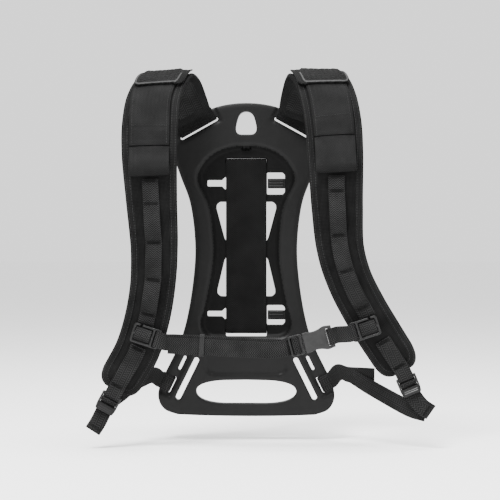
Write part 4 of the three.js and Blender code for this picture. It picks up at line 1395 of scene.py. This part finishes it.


def chest_webbings():
    """Each runs from a slider to the buckle; the left one is folded back round the adjuster's bar."""
    f = slider_frame(STRAPS["left"])
    straight = [CHEST_START + (CHEST_END - CHEST_START) * x for x in (0, 0.02, 0.5, 0.8, 0.96)]
    points = f.across(ROUND_SIDE_BAR + [(28, 1.4)]) + straight + BUCKLE.across(BEHIND_BAR)
    left = webbing("chest_left", route(points, f.tangent, BUCKLE.tangent, 1.2), ripple=1.0, seed=61.0)
    first = CHEST_START + (CHEST_ACROSS * -4 - Y * (WEB_T + GAP))
    points = [first + CHEST_ALONG * run for run in (-8, 40, 84, 102, 114)] + BUCKLE.across(UNDER_BAR)
    tail = webbing("chest_tail", route(points, CHEST_ACROSS, BUCKLE.tangent, 1.4), ripple=1.0, seed=64.0)
    start, end = tuple((CHEST_START + CHEST_ALONG * BLEND_RUN) * MM), tuple(BUCKLE.to(-28, 0, 0) * MM)
    for piece, node in ((left, "chest_webbing_left"), (tail, "chest_webbing_tail")):
        finished(piece, node, None, NARROW)
        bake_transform(piece)

    f = slider_frame(STRAPS["right"])
    points = BUCKLE.across(ROUND_SOCKET_BAR) + f.across([(-u, w) for u, w in reversed(ROUND_SIDE_BAR)])
    right = webbing("chest_right", route(points, BUCKLE.tangent, f.tangent, 1.0), ripple=0.4, seed=67.0)
    finished(right, "chest_webbing_right", "chest_strap", NARROW)


def elastic_keeper():
    centre = CHEST_START + CHEST_ALONG * 33 - CHEST_ACROSS * 2 - Y * 1.05
    place = Frame(centre, CHEST_ALONG, CHEST_ACROSS, -Y)
    piece = ring_band("keeper", place, rectangle(-13.1, 13.1, -3.1, 3.1, 1.9), 6, 1.2, 6)
    finished(piece, "elastic_keeper", "elastic_keeper", ELASTIC)


def buckle_male():
    """The adjuster's frame with its guide tongue, and the two prongs beside it."""
    outline = with_corners([(-27, -12.5), (-11, -12.5), (-11, -1.8), (8, -1.8), (8, 1.8), (-11, 1.8),
                            (-11, 12.5), (-27, 12.5)], [2.5, 1.5, 0.6, 0.7, 0.7, 0.6, 1.5, 2.5])
    slots = [rectangle(-24.6, -21, -10.4, 10.4, 0.8), rectangle(-17.4, -13.8, -10.4, 10.4, 0.8)]

    def rear(q):
        return -1.0 - 1.4 * ease((-10.4 - q[:, 0]) / 0.8)

    def front(q):
        return 0.4 * ridge(q[:, 0] + 19.2, 1.4) * (np.abs(q[:, 1]) < 12) - rear(q)

    piece = moulded("buckle_adjuster", BUCKLE, outline, slots, front, rear, 0.6, 0.6)
    finished(piece, "buckle_male", "buckle_male", HARDWARE)
    arm = with_corners([(-10.6, 6), (0, 6.4), (8, 7.4), (8, 9), (5, 10.6), (-1, 10.6), (-2, 9), (-10.6, 9)],
                       0.7)
    for label, sign in (("upper", 1), ("lower", -1)):
        prong = moulded(f"prong_{label}", BUCKLE, arm * [1, sign], [], level(1.4), level(-1.4), 0.5, 0.5,
                        step=0.7)
        finished(prong, f"buckle_prong_{label}", f"prong_{label}", HARDWARE)


CAVITY = 2.2                # half the height of the socket's cavity


def socket_cutter(u0, u1, v0, v1):
    """A plain block that the socket's cavity is cut with."""
    loop = np.array([(u0, v0), (u1, v0), (u1, v1), (u0, v1)], float)
    n = len(loop)
    points = np.vstack([BUCKLE.to(loop[:, 0], loop[:, 1], w) for w in (-CAVITY, CAVITY)])
    faces = [tuple(range(n)), tuple(range(2 * n - 1, n - 1, -1))]
    faces += [(i, (i + 1) % n, n + (i + 1) % n, n + i) for i in range(n)]
    obj = mesh_object("cutter", points, faces, points[:, :2])
    turn_outwards(obj.data)
    return obj


def cut_out(piece, cutters):
    for cutter in cutters:
        step = piece.modifiers.new("cut", "BOOLEAN")
        step.operation = "DIFFERENCE"
        step.solver = "EXACT"
        step.object = cutter
    mesh = shaped(piece)
    piece.modifiers.clear()
    piece.data = mesh
    for cutter in cutters:
        bpy.data.objects.remove(cutter)
    turn_outwards(mesh, SHARP)


def buckle_female():
    half = np.array([(-9, 12.4), (-4, 12.6), *quadratic((-4, 12.6), (4, 9.6), (13, 12.8)),
                     *quadratic((13, 12.8), (17, 14.6), (20, 14.2)), (27, 13.2)], float)
    outline = np.vstack([half, half[::-1] * [1, -1]])

    def crowned(q):
        u, v = q[:, 0], q[:, 1]
        rim = 0.45 * ease((np.abs(v) - 8) / 4)
        lip = 0.3 * ridge(u + 7, 1.1) + 0.35 * ridge(u - 16.6, 1.2)
        return 3.6 - rim + lip - 0.5 * ease((u - 23) / 4)

    slot = rectangle(19.8, 22.4, -10.6, 10.6, 0.8)
    piece = moulded("buckle_socket", BUCKLE, outline, [slot], crowned, lambda q: -crowned(q), 1, 1, 0.9)
    cut_out(piece, [socket_cutter(-10.5, 13, -11, 11), socket_cutter(-3, 9, 9.5, 16),
                    socket_cutter(-3, 9, -16, -9.5)])
    finished(piece, "buckle_female", "chest_strap", SOCKET)


def centre_strap():
    """Down the front of the recess, each end turned back behind the plate."""
    front = -FLOOR - GAP - CENTRE_T / 2 - 0.4
    back = GAP + CENTRE_T / 2 + 0.2
    marks = [(back, 63), (back, 100), (back, 108.5), (back - 1.3, 113.4), (-2.2, 115.3), (front + 1.3, 114),
             (front, 109), (front, 100), (front, 0), (front, -96), (front, -102.5), (front + 1.3, -106.3),
             (-2.2, -107.4), (back - 1.3, -106), (back, -102), (back, -94), (back, -63)]
    frames = route([(0, y, z) for y, z in marks], X, step=1.3)
    piece = webbing("waist_strap", frames, CENTRE_W, CENTRE_T - 0.2, 24, 0.15, 0.5, 71.0)
    finished(piece, "centre_strap", "backplate", WIDE)


# ---------- the object ----------
backplate()
latch_finger("upper")
latch_finger("lower")
centre_strap()
for name, sign in (("left", -1), ("right", 1)):
    strap_anchor(name, sign)
    lower_loop(name, sign)
    shoulder_pad(name)
    outer_band(name)
    shoulder_patch(name)
    hose_loop(name)
    daisy_webbing(name)
    lock_strip(name)
    ladder_lock(name)
    webbing_tail(name)
    lower_webbing(name, sign)
    slider(name)
    slider_wrap(name)
chest_webbings()
elastic_keeper()
buckle_male()
buckle_female()


# ---------- floor, light and camera ----------
def plain_floor():
    mesh = bpy.data.meshes.new("floor")
    r, z = 30.0, -0.245
    mesh.from_pydata([(-r, -r, z), (r, -r, z), (r, r, z), (-r, r, z)], [], [(0, 1, 2, 3)])
    n = Nodes("floor")
    n.shader.inputs["Base Color"].default_value = (0.97, 0.97, 0.97, 1)
    n.surface(0.9, 0.1)
    mesh.materials.append(n.material)
    linked("floor", mesh)


def aimed(name, data, at, aim):
    obj = linked(name, data)
    obj.location = at
    obj.rotation_euler = (Vector(aim) - Vector(at)).to_track_quat("-Z", "Y").to_euler()
    return obj


def soft_light(name, at, size, watts):
    light = bpy.data.lights.new(name, "AREA")
    light.shape = "SQUARE"
    light.size = size
    light.energy = watts
    aimed(name, light, at, (0, 0, 0))


plain_floor()
world = bpy.data.worlds.new("studio")
world.use_nodes = True
sky = world.node_tree.nodes["Background"]
sky.inputs["Color"].default_value = (1, 1, 1, 1)
sky.inputs["Strength"].default_value = 1.5
bpy.context.scene.world = world
soft_light("key", (-0.6, -1.2, 1.9), 0.7, 100)
soft_light("fill", (1.4, -1.3, 0.4), 0.8, 12)
soft_light("top", (0.2, -0.3, 1.8), 0.8, 55)

camera = bpy.data.cameras.new("camera")
camera.lens = 112
camera.sensor_width = 36
bpy.context.scene.camera = aimed("camera", camera, (0.0746, -2.0, -0.0013), (0.0046, 0, -0.0013))
